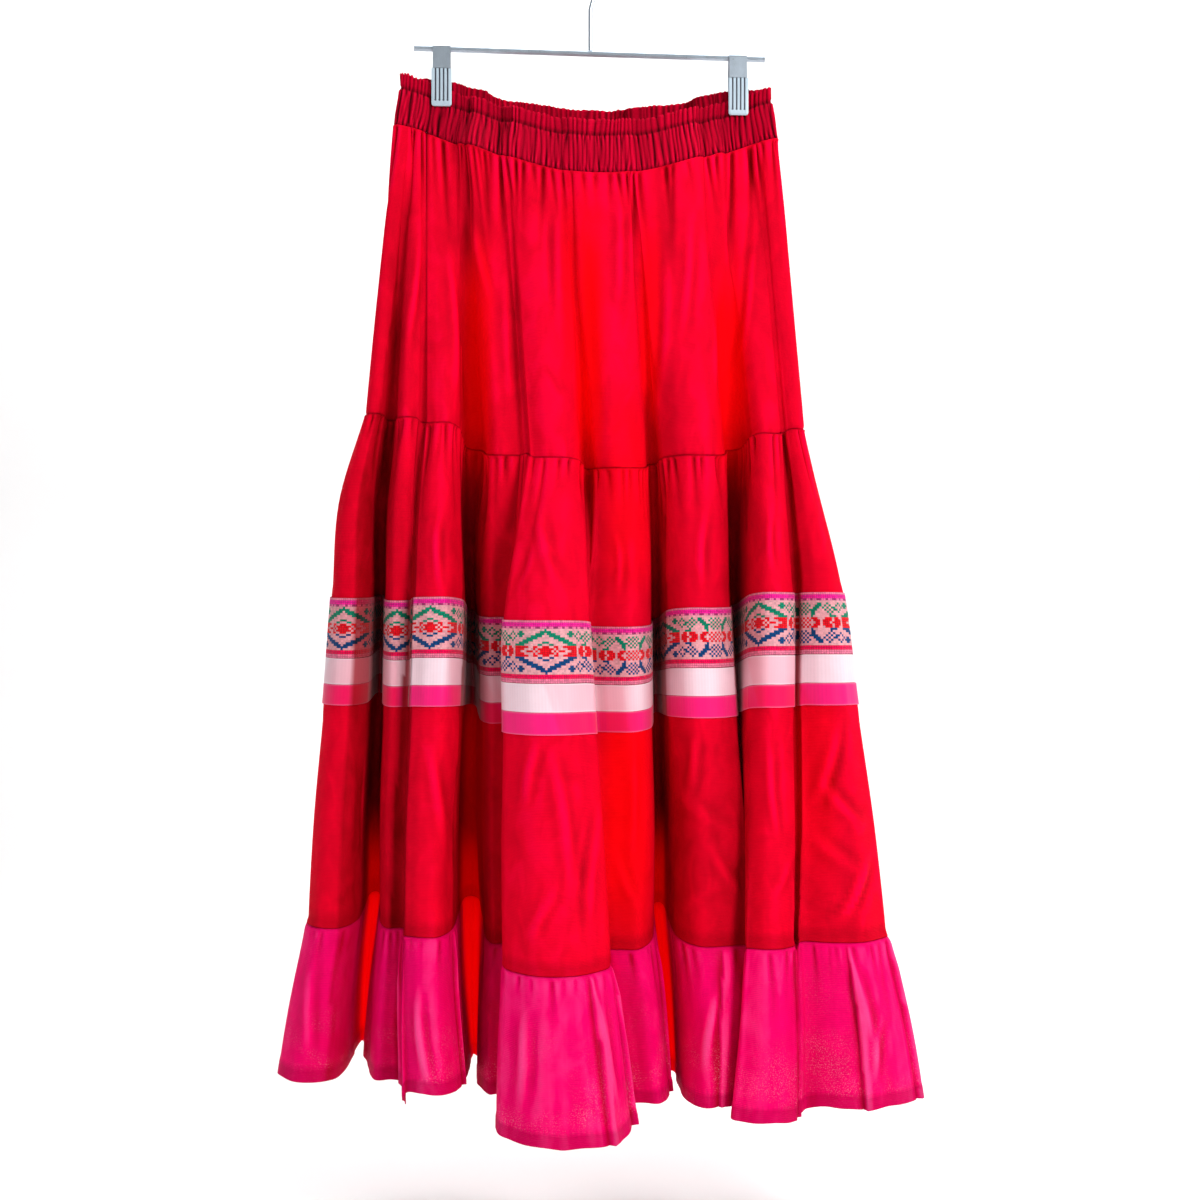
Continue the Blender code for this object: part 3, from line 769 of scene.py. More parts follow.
def side_seam(walked):
    """1 at the two side edges of a panel, where it is sewn to its neighbour."""
    edge = np.minimum(walked - walked[0], walked[-1] - walked)
    return np.exp(-((edge / (1.1 * MM)) ** 2))


def patches(points, normals, table):
    """Soft-edged patches on the front of the skirt."""
    out = np.zeros(points.shape[:2])
    for g in table:
        x = (points[..., 0] - g.x * MM) / (g.wide * MM)
        z = (points[..., 2] + g.drop * MM) / (g.tall * MM)
        out = np.maximum(out, g.strength * np.exp(-(x**4) - z**4))
    return out * (normals[..., 1] < 0)


# ---- materials -------------------------------------------------------------
def new_group(name, inputs, outputs):
    tree = bpy.data.node_groups.new(name, "ShaderNodeTree")
    for label, default in inputs:
        socket = tree.interface.new_socket(name=label, in_out="INPUT", socket_type="NodeSocketFloat")
        socket.default_value = default
    for label in outputs:
        tree.interface.new_socket(name=label, in_out="OUTPUT", socket_type="NodeSocketFloat")
    return tree, tree.nodes.new("NodeGroupInput"), tree.nodes.new("NodeGroupOutput")


def calc(tree, operation, a, b=None, c=None):
    node = tree.nodes.new("ShaderNodeMath")
    node.operation = operation
    for i, value in enumerate((a, b, c)):
        if value is None:
            continue
        if isinstance(value, (int, float)):
            node.inputs[i].default_value = value
        else:
            tree.links.new(value, node.inputs[i])
    return node.outputs[0]


def times(tree, a, b):
    return calc(tree, "MULTIPLY", a, b)


def coordinates(tree, space):
    return tree.nodes.new("ShaderNodeTexCoord").outputs[space]


def stretched(tree, space, scale, turn=(0.0, 0.0, 0.0)):
    """Places in the named coordinates, stretched and turned."""
    mapping = tree.nodes.new("ShaderNodeMapping")
    set_inputs(mapping, Scale=scale, Rotation=turn)
    tree.links.new(coordinates(tree, space), mapping.inputs["Vector"])
    return mapping.outputs[0]


def flat_place(tree):
    """How far across and how far down the cloth each point lies."""
    split = tree.nodes.new("ShaderNodeSeparateXYZ")
    tree.links.new(coordinates(tree, "UV"), split.inputs[0])
    return split.outputs


def noise(tree, place, scale=1.0, detail=2.0, distortion=0.0):
    """Soft noise from 0 to 1. The scale is a number or a value from the nodes."""
    node = tree.nodes.new("ShaderNodeTexNoise")
    set_inputs(node, Detail=detail, Distortion=distortion)
    tree.links.new(place, node.inputs["Vector"])
    if isinstance(scale, float):
        node.inputs["Scale"].default_value = scale
    else:
        tree.links.new(scale, node.inputs["Scale"])
    return node.outputs["Fac"]


def less(tree, a, b):
    return calc(tree, "SUBTRACT", a, b)


def limited(tree, value):
    """The value kept between 0 and 1."""
    return calc(tree, "MINIMUM", calc(tree, "MAXIMUM", value, 0.0), 1.0)


def weave_group():
    """Crossing threads on the piece's flat place: heavier ribs run along the cloth."""
    tree, given, out = new_group(
        "Cloth weave",
        (("Ribs per metre", 900.0), ("Threads per metre", 1400.0), ("Unevenness", 0.35)),
        ("Height", "Shade"),
    )
    across, down, _ = flat_place(tree)
    slub = noise(tree, stretched(tree, "UV", (60.0, 700.0, 1.0)), detail=3.0)
    uneven = times(tree, less(tree, slub, 0.5), given.outputs["Unevenness"])
    rib = times(tree, times(tree, down, given.outputs["Ribs per metre"]), 2 * math.pi)
    rib = calc(tree, "SINE", calc(tree, "ADD", rib, times(tree, uneven, 9.0)))
    thread = times(tree, times(tree, across, given.outputs["Threads per metre"]), 2 * math.pi)
    thread = calc(tree, "SINE", thread)
    height = calc(tree, "ADD", times(tree, rib, 0.3), times(tree, thread, 0.14))
    height = calc(tree, "ADD", calc(tree, "ADD", height, 0.5), uneven)
    tree.links.new(height, out.inputs["Height"])
    tree.links.new(calc(tree, "MULTIPLY_ADD", height, 0.16, 0.92), out.inputs["Shade"])
    return tree


def mottle_group():
    """Slow uneven shade over the cloth, as handling and wash leave it."""
    tree, given, out = new_group("Cloth mottling", (("Size", 18.0), ("Strength", 0.12)), ("Shade",))
    place = coordinates(tree, "Object")
    parts = []
    for scale, weight in ((1.0, 0.6), (4.0, 0.4)):
        spots = noise(tree, place, times(tree, given.outputs["Size"], scale), 4.0)
        parts.append(times(tree, less(tree, spots, 0.5), weight))
    shade = times(tree, calc(tree, "ADD", *parts), given.outputs["Strength"])
    tree.links.new(calc(tree, "MULTIPLY_ADD", shade, 2.0, 1.0), out.inputs["Shade"])
    return tree


def painted_crinkle_group():
    """Painted shade of soft uneven crinkles, as folding leaves in plain cotton, with no relief."""
    tree, given, out = new_group("Cloth crumple", (("Size", 62.0),), ("Shade",))
    place = stretched(tree, "Object", (1.0, 1.0, 0.5), (0.0, 0.35, 0.0))
    soft = noise(tree, place, given.outputs["Size"], distortion=0.7)
    tree.links.new(less(tree, soft, 0.5), out.inputs["Shade"])
    return tree


def streak_group():
    """Long upright lighter and darker streaks along the cloth."""
    tree, given, out = new_group("Cloth streaks", (("Across", 75.0), ("Along", 6.0)), ("Shade",))
    sizes = tree.nodes.new("ShaderNodeCombineXYZ")
    tree.links.new(given.outputs["Across"], sizes.inputs[0])
    tree.links.new(given.outputs["Along"], sizes.inputs[1])
    place = stretched(tree, "UV", (1.0, 1.0, 1.0))
    tree.links.new(sizes.outputs[0], place.node.inputs["Scale"])
    tree.links.new(less(tree, noise(tree, place, detail=3.0), 0.5), out.inputs["Shade"])
    return tree


def fleck_group():
    """Small flecks in loose clouds: pale on the flounce, a painted highlight; darker specks in the woven band.
    """
    inputs = (("Fineness", 1100.0), ("Cloud size", 30.0))
    tree, given, out = new_group("Cloth flecks", inputs, ("Shade",))
    place = coordinates(tree, "Object")
    parts = []
    for label, cut, gain in (("Fineness", 0.54, 7.0), ("Cloud size", 0.4, 2.5)):
        spots = noise(tree, place, given.outputs[label])
        parts.append(limited(tree, times(tree, less(tree, spots, cut), gain)))
    tree.links.new(times(tree, *parts), out.inputs["Shade"])
    return tree


def cell_group():
    """A dome on every cell of the band, for threads that float over the ground."""
    inputs = (("Cell width", 0.00175), ("Cell height", 0.001724))
    tree, given, out = new_group("Floating threads", inputs, ("Height",))
    place = flat_place(tree)
    sides = []
    for axis, (label, _), shift in ((0, inputs[0], 0.5), (1, inputs[1], 0.0)):
        count = calc(tree, "ADD", calc(tree, "DIVIDE", place[axis], given.outputs[label]), shift)
        off = calc(tree, "MULTIPLY_ADD", calc(tree, "FRACT", count), 2.0, -1.0)
        sides.append(less(tree, 1.0, calc(tree, "POWER", calc(tree, "ABSOLUTE", off), 3.0)))
    tree.links.new(times(tree, *sides), out.inputs["Height"])
    return tree


def set_inputs(node, **values):
    for label, value in values.items():
        node.inputs[label.replace("_", " ")].default_value = value


def place_group(tree, group, **values):
    node = tree.nodes.new("ShaderNodeGroup")
    node.node_tree = group
    set_inputs(node, **values)
    return node


def colour_mix(tree, factor, a, b, blend="MIX"):
    node = tree.nodes.new("ShaderNodeMix")
    node.data_type = "RGBA"
    node.blend_type = blend
    for socket, value in (("Factor_Float", factor), ("A_Color", a), ("B_Color", b)):
        target = next(s for s in node.inputs if s.identifier == socket)
        if isinstance(value, (int, float)):
            target.default_value = value
        elif isinstance(value, tuple):
            target.default_value = (*value, 1.0)
        else:
            tree.links.new(value, target)
    return next(s for s in node.outputs if s.identifier == "Result_Color")


def grey(tree, value):
    node = tree.nodes.new("ShaderNodeCombineColor")
    for i in range(3):
        tree.links.new(value, node.inputs[i])
    return node.outputs[0]


def mark_value(tree, name):
    node = tree.nodes.new("ShaderNodeAttribute")
    node.attribute_name = name
    return node.outputs["Fac"]


def new_material(name):
    """An empty finish: the material, its nodes and its shader."""
    material = bpy.data.materials.new(name)
    material.use_nodes = True
    return material, material.node_tree, material.node_tree.nodes["Principled BSDF"]


def raise_surface(tree, shader, height, strength, distance):
    """Lets a height raise the surface a little."""
    bump = tree.nodes.new("ShaderNodeBump")
    set_inputs(bump, Strength=strength, Distance=distance)
    tree.links.new(height, bump.inputs["Height"])
    tree.links.new(bump.outputs[0], shader.inputs["Normal"])


def cloth_material(
    name, groups, colours, roughness, sheen, ribs, threads, crinkle_shading=0.0, streaked=0.0, worn=0.0, glow=0.0
):
    """Woven cloth: thread shade and relief, mottling, painted fold shade and ridge highlights,
    and a purer colour where light comes through, a painted glow.

    The colours are the cloth deep in a fold, lying open, on a ridge, and lit from behind: painted
    shade, its own colour, a painted highlight and a painted glow."""
    deep, colour, bright, painted_glow_colour = colours
    material, tree, shader = new_material(name)
    weave = place_group(tree, groups["weave"], Ribs_per_metre=ribs, Threads_per_metre=threads)
    mottle = place_group(tree, groups["mottle"])
    shade = times(tree, weave.outputs["Shade"], mottle.outputs["Shade"])
    sheer = mark_value(tree, "sheer")
    seam = mark_value(tree, "seam")
    tone = mark_value(tree, "tone")
    for group, amount in (("crumple", crinkle_shading), ("streaks", streaked)):
        if amount:
            tone = calc(tree, "MULTIPLY_ADD", place_group(tree, groups[group]).outputs["Shade"], amount, tone)
    # Painted shade and highlight: the colour runs from the fold colour to the open colour with the painted
    # shading, then towards the ridge colour above 0.9; a painted glow then tints it towards the lit-through
    # colour.
    base = colour_mix(tree, tone, deep, colour)
    base = colour_mix(tree, times(tree, less(tree, tone, 0.9), 1.8), base, bright)
    base = colour_mix(tree, times(tree, sheer, 0.85), base, painted_glow_colour)
    base = colour_mix(tree, 1.0, base, grey(tree, shade), "MULTIPLY")
    # Painted highlight: pale pink flecks, most towards the hem of the flounce.
    if worn:
        flecks = place_group(tree, groups["flecks"])
        thin = times(tree, flecks.outputs["Shade"], times(tree, mark_value(tree, "worn"), worn))
        base = colour_mix(tree, thin, base, (1.0, 0.42, 0.52))
    # Seams and stitches are drawn darker; in the tier this also holds painted shade on the doubled cloth above
    # its lower seam.
    base = colour_mix(tree, times(tree, seam, 0.8), base, tuple(0.45 * c for c in deep))
    tree.links.new(base, shader.inputs["Base Color"])
    set_inputs(shader, Roughness=roughness, Specular_IOR_Level=0.03)
    set_inputs(shader, Sheen_Weight=sheen, Sheen_Roughness=0.4, Sheen_Tint=(*colour, 1.0))
    # Painted glow: the cloth emits a little light where light from behind would come through.
    if glow:
        through = colour_mix(tree, sheer, (0.0, 0.0, 0.0), tuple(glow * c for c in painted_glow_colour))
        tree.links.new(through, shader.inputs["Emission Color"])
        set_inputs(shader, Emission_Strength=1.0)
    raise_surface(tree, shader, weave.outputs["Height"], 0.5, 0.4 * MM)
    return material


def fold_shade(tree, base):
    """Painted shade: trims between folds are drawn darker, towards the red of the cloth round them."""
    open_cloth = calc(tree, "MULTIPLY_ADD", mark_value(tree, "tone"), 1.2, -0.12)
    tint = colour_mix(tree, open_cloth, (0.33, 0.002, 0.015), (1.0, 1.0, 1.0))
    return colour_mix(tree, 1.0, base, tint, "MULTIPLY")


def satin_material(name, groups, colour, facet, shine):
    """Smooth ribbon, with painted light and shade: lighter or deeper flat facets, as its stiffness leaves."""
    material, tree, shader = new_material(name)
    weave = place_group(tree, groups["weave"], Ribs_per_metre=1500.0, Threads_per_metre=400.0, Unevenness=0.2)
    mottle = place_group(tree, groups["mottle"], Size=30.0, Strength=0.08)
    shade = times(tree, weave.outputs["Shade"], mottle.outputs["Shade"])
    seam = mark_value(tree, "seam")
    base = colour_mix(tree, 1.0, colour, grey(tree, shade), "MULTIPLY")
    base = colour_mix(tree, mark_value(tree, "facet"), base, facet)
    edge = tuple(min(1.0, 0.15 + 0.9 * c) for c in colour)
    base = colour_mix(tree, times(tree, seam, shade), base, edge)
    tree.links.new(fold_shade(tree, base), shader.inputs["Base Color"])
    set_inputs(shader, Roughness=0.4, Specular_IOR_Level=shine, Sheen_Weight=0.2)
    raise_surface(tree, shader, weave.outputs["Height"], 0.25, 0.2 * MM)
    return material


def woven_material(name, groups):
    """The jacquard band takes its threads' colours from the chart laid on its mesh."""
    material, tree, shader = new_material(name)
    weave = place_group(tree, groups["weave"], Ribs_per_metre=1160.0, Threads_per_metre=1143.0, Unevenness=0.9)
    mottle = place_group(tree, groups["mottle"], Size=220.0, Strength=0.3)
    cell = place_group(tree, groups["cell"])
    chart = tree.nodes.new("ShaderNodeVertexColor")
    chart.layer_name = "Thread"
    raised = times(tree, chart.outputs["Alpha"], cell.outputs["Height"])
    shade = times(tree, weave.outputs["Shade"], mottle.outputs["Shade"])
    # Painted shade: raised floats are drawn lighter in their middles and darker at their edges.
    edge = calc(tree, "MULTIPLY_ADD", raised, 0.45, 0.7)
    plain = less(tree, 1.0, chart.outputs["Alpha"])
    shade = times(tree, shade, calc(tree, "MAXIMUM", edge, plain))
    salt = place_group(tree, groups["flecks"], Fineness=1500.0, Cloud_size=0.1)
    specks = times(tree, salt.outputs["Shade"], times(tree, plain, 0.75))
    ground = colour_mix(tree, specks, chart.outputs["Color"], (0.55, 0.07, 0.09))
    base = colour_mix(tree, 1.0, ground, grey(tree, shade), "MULTIPLY")
    tree.links.new(fold_shade(tree, base), shader.inputs["Base Color"])
    set_inputs(shader, Roughness=0.7, Specular_IOR_Level=0.1, Sheen_Weight=0.1)
    height = calc(tree, "ADD", raised, times(tree, weave.outputs["Height"], 0.5))
    raise_surface(tree, shader, height, 0.7, 0.8 * MM)
    return material


def steel_material(name, deep, bright, roughness, metallic):
    """Sheet steel with faint upright rolling marks and a little uneven polish."""
    material, tree, shader = new_material(name)
    set_inputs(shader, Metallic=metallic)
    shades = []
    for across, along in ((2600.0, 90.0), (160.0, 110.0)):
        marks = noise(tree, stretched(tree, "Object", (across, across, along)))
        shades.append(times(tree, marks, 0.5))
    shade = calc(tree, "ADD", *shades)
    tree.links.new(colour_mix(tree, shade, deep, bright), shader.inputs["Base Color"])
    tree.links.new(calc(tree, "MULTIPLY_ADD", shade, 0.16, roughness), shader.inputs["Roughness"])
    raise_surface(tree, shader, shades[0], 0.15, 0.1 * MM)
    return material


# Name, colour in the marks, colour between them, roughness, share of metal
STEELS = (
    ("Skirt steel", (0.36, 0.42, 0.48), (0.62, 0.72, 0.82), 0.22, 0.6),
    ("Skirt clip steel", (0.43, 0.55, 0.64), (0.58, 0.70, 0.79), 0.4, 0.2),
    ("Skirt dark steel", (0.05, 0.06, 0.09), (0.12, 0.12, 0.15), 0.4, 0.5),
)


def materials():
    """All finishes, made once."""
    made = {m.name: m for m in bpy.data.materials if m.name.startswith("Skirt ")}
    if made:
        return made
    look = bpy.context.scene.skirt_looks
    groups = {
        "weave": weave_group(),
        "mottle": mottle_group(),
        "crumple": painted_crinkle_group(),
        "streaks": streak_group(),
        "flecks": fleck_group(),
        "cell": cell_group(),
    }
    lit = look.poplin_lit_through
    red = [tuple(c) for c in (look.poplin_painted_shade, look.poplin_red, look.poplin_painted_highlight, lit)]
    crimson = [tuple(c) for c in (look.casing_painted_shade, look.casing_crimson, look.casing_painted_highlight, lit)]
    pink = [tuple(c) for c in (look.flounce_deep, look.flounce_pink, look.flounce_bright, lit)]
    cotton = {"roughness": 0.75, "sheen": 0.2, "ribs": 850.0, "threads": 1500.0}
    sateen = {"roughness": 0.6, "sheen": 0.3, "ribs": 700.0, "threads": 1700.0}
    cloth_material("Skirt poplin", groups, red, **cotton, crinkle_shading=0.6, glow=0.13)
    cloth_material("Skirt casing", groups, crimson, **cotton)
    cloth_material("Skirt flounce", groups, pink, **sateen, crinkle_shading=0.45, streaked=0.5, worn=0.5, glow=0.3)
    satin_material("Skirt pale satin", groups, tuple(look.pale_satin), (1.0, 0.40, 0.50), 0.3)
    satin_material("Skirt hot satin", groups, tuple(look.hot_satin), (1.0, 0.0, 0.05), 0.1)
    woven_material("Skirt woven band", groups)
    for steel in STEELS:
        steel_material(*steel)
    return {m.name: m for m in bpy.data.materials if m.name.startswith("Skirt ")}


def finish_piece(piece, finish, nodes):
    piece.data.materials.clear()
    piece.data.materials.append(materials()[finish])
    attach(piece, "root")
    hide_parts(*nodes)


def sew_panel(name, cut, points, walked, down, marks):
    """One panel as a finished piece. The cut names its finish."""
    piece = grid_mesh("cloth_" + name, points, walked, down, marks)
    finish_piece(piece, "Skirt " + cut, [name])


def waistband_cloth():
    return Cloth([waist_section(45 * MM, 1.0), waist_section(33 * MM, 0.96), waist_section(0.0, 0.0)], 2)


def yoke_cloth():
    waist = waist_section(0.0, 0.0)
    upper = section(UPPER_SEAM)
    return Cloth([waist, yoke_middle(waist, upper), upper], 1)


def tier_rings():
    trim_top = section(TRIM_TOP)
    lower = section(LOWER_SEAM)
    trim_end = mix(trim_top, lower, TRIM_LENGTH / TIER_BELOW_TRIM_TOP)
    fuller = swell(trim_end, lower, 0.5, FULLNESS)
    return [section(UPPER_SEAM), section(SHOULDER), trim_top, trim_end, fuller, lower]


def tier_cloth():
    return Cloth(tier_rings(), 2)


def flounce_cloth():
    lower = section(LOWER_SEAM)
    hem = section(HEM)
    return Cloth([lower, swell(lower, hem, 0.5, FULLNESS), hem], 2)


def gathered_relief(cloth, points, normals, walked, down, seed, gathers, waves, settled):
    """Gathers under the upper seam, creases, broad waves, and puckers over the lower seam."""
    relief = radiating_gathers(walked, down, seed, *gathers)
    relief += crease_relief(points, normals)
    broad = cloth.ripple(seed + 1, waves, walked) * 1.4 * MM
    relief += broad * smooth_step(0, settled, down)[:, None]
    relief += puckers(cloth, walked, down, seed + 2)
    return relief * seam_fade(cloth, walked)


def tier_surface(cloth, columns, walked, down):
    """The middle tier with the gathers under its seam and its creases; the trims use it too."""
    points = cloth.points(columns, down)
    normals = level_normals(points)
    gathers = (9.5 * MM, 46 * MM, 4.6 * MM, 2.2 * MM)
    relief = gathered_relief(cloth, points, normals, walked, down, 11, gathers, 42, 60 * MM)
    flat = smooth_step(cloth.knots[2] - 12 * MM, cloth.knots[2], down) * (
        1 - smooth_step(cloth.knots[3], cloth.knots[3] + 15 * MM, down)
    )
    edge = 1 - smooth_step(cloth.length - 6 * MM, cloth.length, down)
    relief *= ((1 - 0.75 * flat) * edge)[:, None]
    return points + normals * relief[..., None], normals, relief


def valley_mark(points, normals, gain):
    """1 in the deep hollows between folds, where light reaches through the back."""
    facing = 1 - smooth_step(-0.3, 0.1, normals[..., 1])
    return smooth_step(10 * MM, 45 * MM, points[..., 1]) * facing * gain


class SKIRT_OT_waistband(bpy.types.Operator):
    """Makes the gathered casing with its heading ruffle, front and back"""

    bl_idname = "skirt.waistband"
    bl_label = "Waistband"

    def execute(self, context):
        cloth = waistband_cloth()
        count = context.scene.skirt_sizes.gathers
        for side, first, last, detail in HALVES:
            columns, walked = even_columns(cloth, first, last, int(WAISTBAND_GRID[0] * detail))
            down = np.linspace(0, cloth.length - SEAM_GAP, WAISTBAND_GRID[1])
            points = cloth.points(columns, down)
            normals = level_normals(points)
            phase = walked / cloth.round * count + 0.6 * cloth.ripple(3, count * 0.6, walked)
            phase = phase + 0.8 * cloth.ripple(8, count * 0.12, walked)
            lean = 0.8 * cloth.ripple(4, 22, walked) * (down[:, None] / cloth.length - 0.5)
            lean = lean + 0.15 * cloth.ripple(9, 60, walked) * np.sin(down / (7 * MM))[:, None]
            wave = np.abs(np.sin(math.pi * (phase + lean))) ** 0.7
            size = 1 + 0.45 * cloth.ripple(5, count, walked)
            stitch = np.exp(-(((down - cloth.knots[1]) / (1.3 * MM)) ** 2))
            seam = np.exp(-(((down - cloth.length) / (2.2 * MM)) ** 2))
            heading = 1 - smooth_step(0, cloth.knots[1], down)
            below = np.maximum(down - cloth.knots[1], 0)
            darts = radiating_gathers(walked, below, 61, 3.4 * MM, 15 * MM, 2.2 * MM, 0.7 * MM)
            darts *= smooth_step(cloth.knots[1], cloth.knots[1] + 1 * MM, down)[:, None]
            darts += radiating_gathers(walked, cloth.length - down, 62, 3.6 * MM, 14 * MM, 2.2 * MM, 0.7 * MM)
            height = (0.9 + 0.9 * heading - 0.3 * stitch - 0.3 * seam) * MM
            relief = (wave - 0.7) * size * height[:, None] + darts
            relief *= seam_fade(cloth, walked, 4 * MM)
            groove = side_seam(walked)
            relief -= groove * SIDE_GROOVE
            frill = np.sin(math.pi * phase * 0.5 + 2 * cloth.ripple(6, 60, walked))
            relief += heading[:, None] ** 2 * frill * 0.8 * MM
            relief -= stitch[:, None] * 1.3 * MM
            casing = np.clip((down - cloth.knots[1]) / (cloth.length - cloth.knots[1]), 0, 1)
            relief += np.sin(math.pi * casing)[:, None] ** 0.6 * 1.6 * MM
            points = points + normals * relief[..., None]
            top = np.exp(-((down / (2 * MM)) ** 2))[:, None]
            uneven = 0.6 * MM * cloth.ripple(7, 90, walked)
            points[..., 2] += top * ((wave - 0.6) * 1.4 * MM + uneven)
            dots = 0.5 + 0.5 * np.sin(2 * math.pi * walked / (2.4 * MM))
            # Painted shade and highlight: the casing is drawn darker along its stitch row and seam and in the
            # troughs of gathers and darts, lighter on their ridges and on the heading.
            shadow = 0.52 + 0.1 * heading[:, None] - 0.45 * stitch[:, None] - 0.3 * seam[:, None]
            fine = 0.8 * (wave - 0.55) * size + 0.9 * hollows(darts, walked, 5 * MM)
            marks = {
                "tone": np.clip(painted_fold_shade(cloth, walked, down, 0.4) * (shadow + fine), 0, 1.4),
                "seam": np.clip(stitch[:, None] * 0.6 * dots + groove, 0, 1),
                "sheer": np.zeros(points.shape[:2]),
            }
            sew_panel("waistband_" + side, "casing", points, walked, down, marks)
        return {"FINISHED"}


class SKIRT_OT_yoke(bpy.types.Operator):
    """Makes the gathered yoke, front and back"""

    bl_idname = "skirt.yoke"
    bl_label = "Yoke"

    def execute(self, context):
        cloth = yoke_cloth()
        for side, first, last, detail in HALVES:
            columns, walked = even_columns(cloth, first, last, int(YOKE_GRID[0] * detail))
            down = rows_down(cloth.length, int(YOKE_GRID[1] * detail))
            points = cloth.points(columns, down)
            normals = level_normals(points)
            gathers = (7.5 * MM, 60 * MM, 4.2 * MM, 1.8 * MM)
            relief = gathered_relief(cloth, points, normals, walked, down, 21, gathers, 34, 80 * MM)
            edge = 1 - smooth_step(cloth.length - 4 * MM, cloth.length, down)
            groove = side_seam(walked)
            points = points + normals * (relief * edge[:, None] - groove * SIDE_GROOVE)[..., None]
            line = smooth_step(cloth.length - 1.1 * MM, cloth.length, down)
            marks = {
                "tone": tone(cloth, walked, down, relief, points, normals, 9 * MM, 0.46, 0.4),
                "seam": np.maximum(line[:, None], 0.8 * groove),
                "sheer": np.maximum(patches(points, normals, GLOWS), valley_mark(points, normals, 0.6)),
            }
            sew_panel("yoke_" + side, "poplin", points, walked, down, marks)
        return {"FINISHED"}


class SKIRT_OT_tier(bpy.types.Operator):
    """Makes the long middle tier, front and back"""

    bl_idname = "skirt.tier"
    bl_label = "Middle tier"

    def execute(self, context):
        cloth = tier_cloth()
        for side, first, last, detail in HALVES:
            columns, walked = even_columns(cloth, first, last, int(TIER_GRID[0] * detail))
            down = rows_down(cloth.length, int(TIER_GRID[1] * detail))
            points, normals, relief = tier_surface(cloth, columns, walked, down)
            groove = side_seam(walked)
            points -= normals * (groove * SIDE_GROOVE)[None, :, None]
            low = smooth_step(735 * MM, 800 * MM, -points[..., 2])
            # Painted shade: the doubled cloth just above the lower seam is drawn darker, as less light comes
            # through it.
            allowance_shade = smooth_step(cloth.length - 10 * MM, cloth.length - 8.5 * MM, down) * 0.35
            line = smooth_step(cloth.length - 1.2 * MM, cloth.length, down) * 0.5
            line += 0.8 * (1 - smooth_step(0, 1.2 * MM, down))
            marks = {
                "tone": tone(cloth, walked, down, relief, points, normals, 9 * MM, 0.46, 0.2),
                "seam": np.maximum((allowance_shade + line)[:, None], 0.8 * groove),
                "sheer": np.maximum(patches(points, normals, GLOWS), valley_mark(points, normals, 1.0) * low),
            }
            sew_panel("tier_" + side, "poplin", points, walked, down, marks)
        return {"FINISHED"}


class SKIRT_OT_flounce(bpy.types.Operator):
    """Makes the pleated flounce with its turned hem, front and back"""

    bl_idname = "skirt.flounce"
    bl_label = "Flounce"

    def execute(self, context):
        cloth = flounce_cloth()
        turn = context.scene.skirt_sizes.hem_turn
        for side, first, last, detail in HALVES:
            columns, walked = even_columns(cloth, first, last, int(FLOUNCE_GRID[0] * detail))
            down = rows_down(cloth.length, int(FLOUNCE_GRID[1] * detail), last=0.0)
            points = cloth.points(columns, down)
            normals = level_normals(points)
            fall = smooth_step(0, cloth.length, down)
            relief = radiating_gathers(walked, down, 31, 11 * MM, 34 * MM, 2.6 * MM, 1.8 * MM)
            relief += fall[:, None] * cloth.ripple(34, 76, walked) * 3.4 * MM
            for pleat in PLEATS:
                column = (FOLD_NAMES.index(pleat.fold) + pleat.share) * FOLD_COLUMNS
                for turned in (0, RING_COLUMNS):
                    place = cloth.walked_at(column + turned)
                    slant = ripple(int(column), 1.5, down, cloth.length)[:, None] * 2.5 * MM
                    off = walked - place - slant
                    step = smooth_step(-0.8 * MM, 0.8 * MM, off) * np.exp(-np.clip(off, 0, None) / (13 * MM))
                    foot = np.exp(-((np.minimum(off, 0) / (2.5 * MM)) ** 2)) * (off < 0)
                    reach = mix(0.5, 1.5, smooth_step(0, 30 * MM, down))[:, None]
                    relief += reach * (1.3 * step - 0.45 * foot) * pleat.lap * MM
            relief += crease_relief(points, normals)
            relief *= seam_fade(cloth, walked) * smooth_step(0, 6 * MM, down)[:, None]
            relief -= 0.7 * MM * np.exp(-((down / (1.2 * MM)) ** 2))[:, None]
            hem = smooth_step(cloth.length - turn - 0.6 * MM, cloth.length - turn, down)
            stitch = np.exp(-(((down - cloth.length + turn) / (1.2 * MM)) ** 2))
            relief += (hem * 0.35 * MM - stitch * 0.4 * MM)[:, None]
            relief += hem[:, None] * cloth.ripple(33, 300, walked) * 0.45 * MM
            groove = side_seam(walked)
            points = points + normals * (relief - groove * SIDE_GROOVE)[..., None]
            points[..., 2] += hem[:, None] * cloth.ripple(35, 130, walked) * 1.3 * MM
            dots = smooth_step(-0.3, 0.3, np.sin(2 * math.pi * walked / (4.2 * MM)))
            low = smooth_step(0.45 * cloth.length, 0.85 * cloth.length, down) * (1 - hem)
            marks = {
                "tone": tone(cloth, walked, down, relief, points, normals, 14 * MM, 0.4, 0.2),
                "seam": np.maximum((hem * 0.45)[:, None] + stitch[:, None] * dots, 0.8 * groove),
                "sheer": valley_mark(points, normals, 1.0),
                "worn": np.repeat((0.15 + 0.85 * low)[:, None], len(walked), 1),
            }
            sew_panel("flounce_" + side, "flounce", points, walked, down, marks)
        return {"FINISHED"}


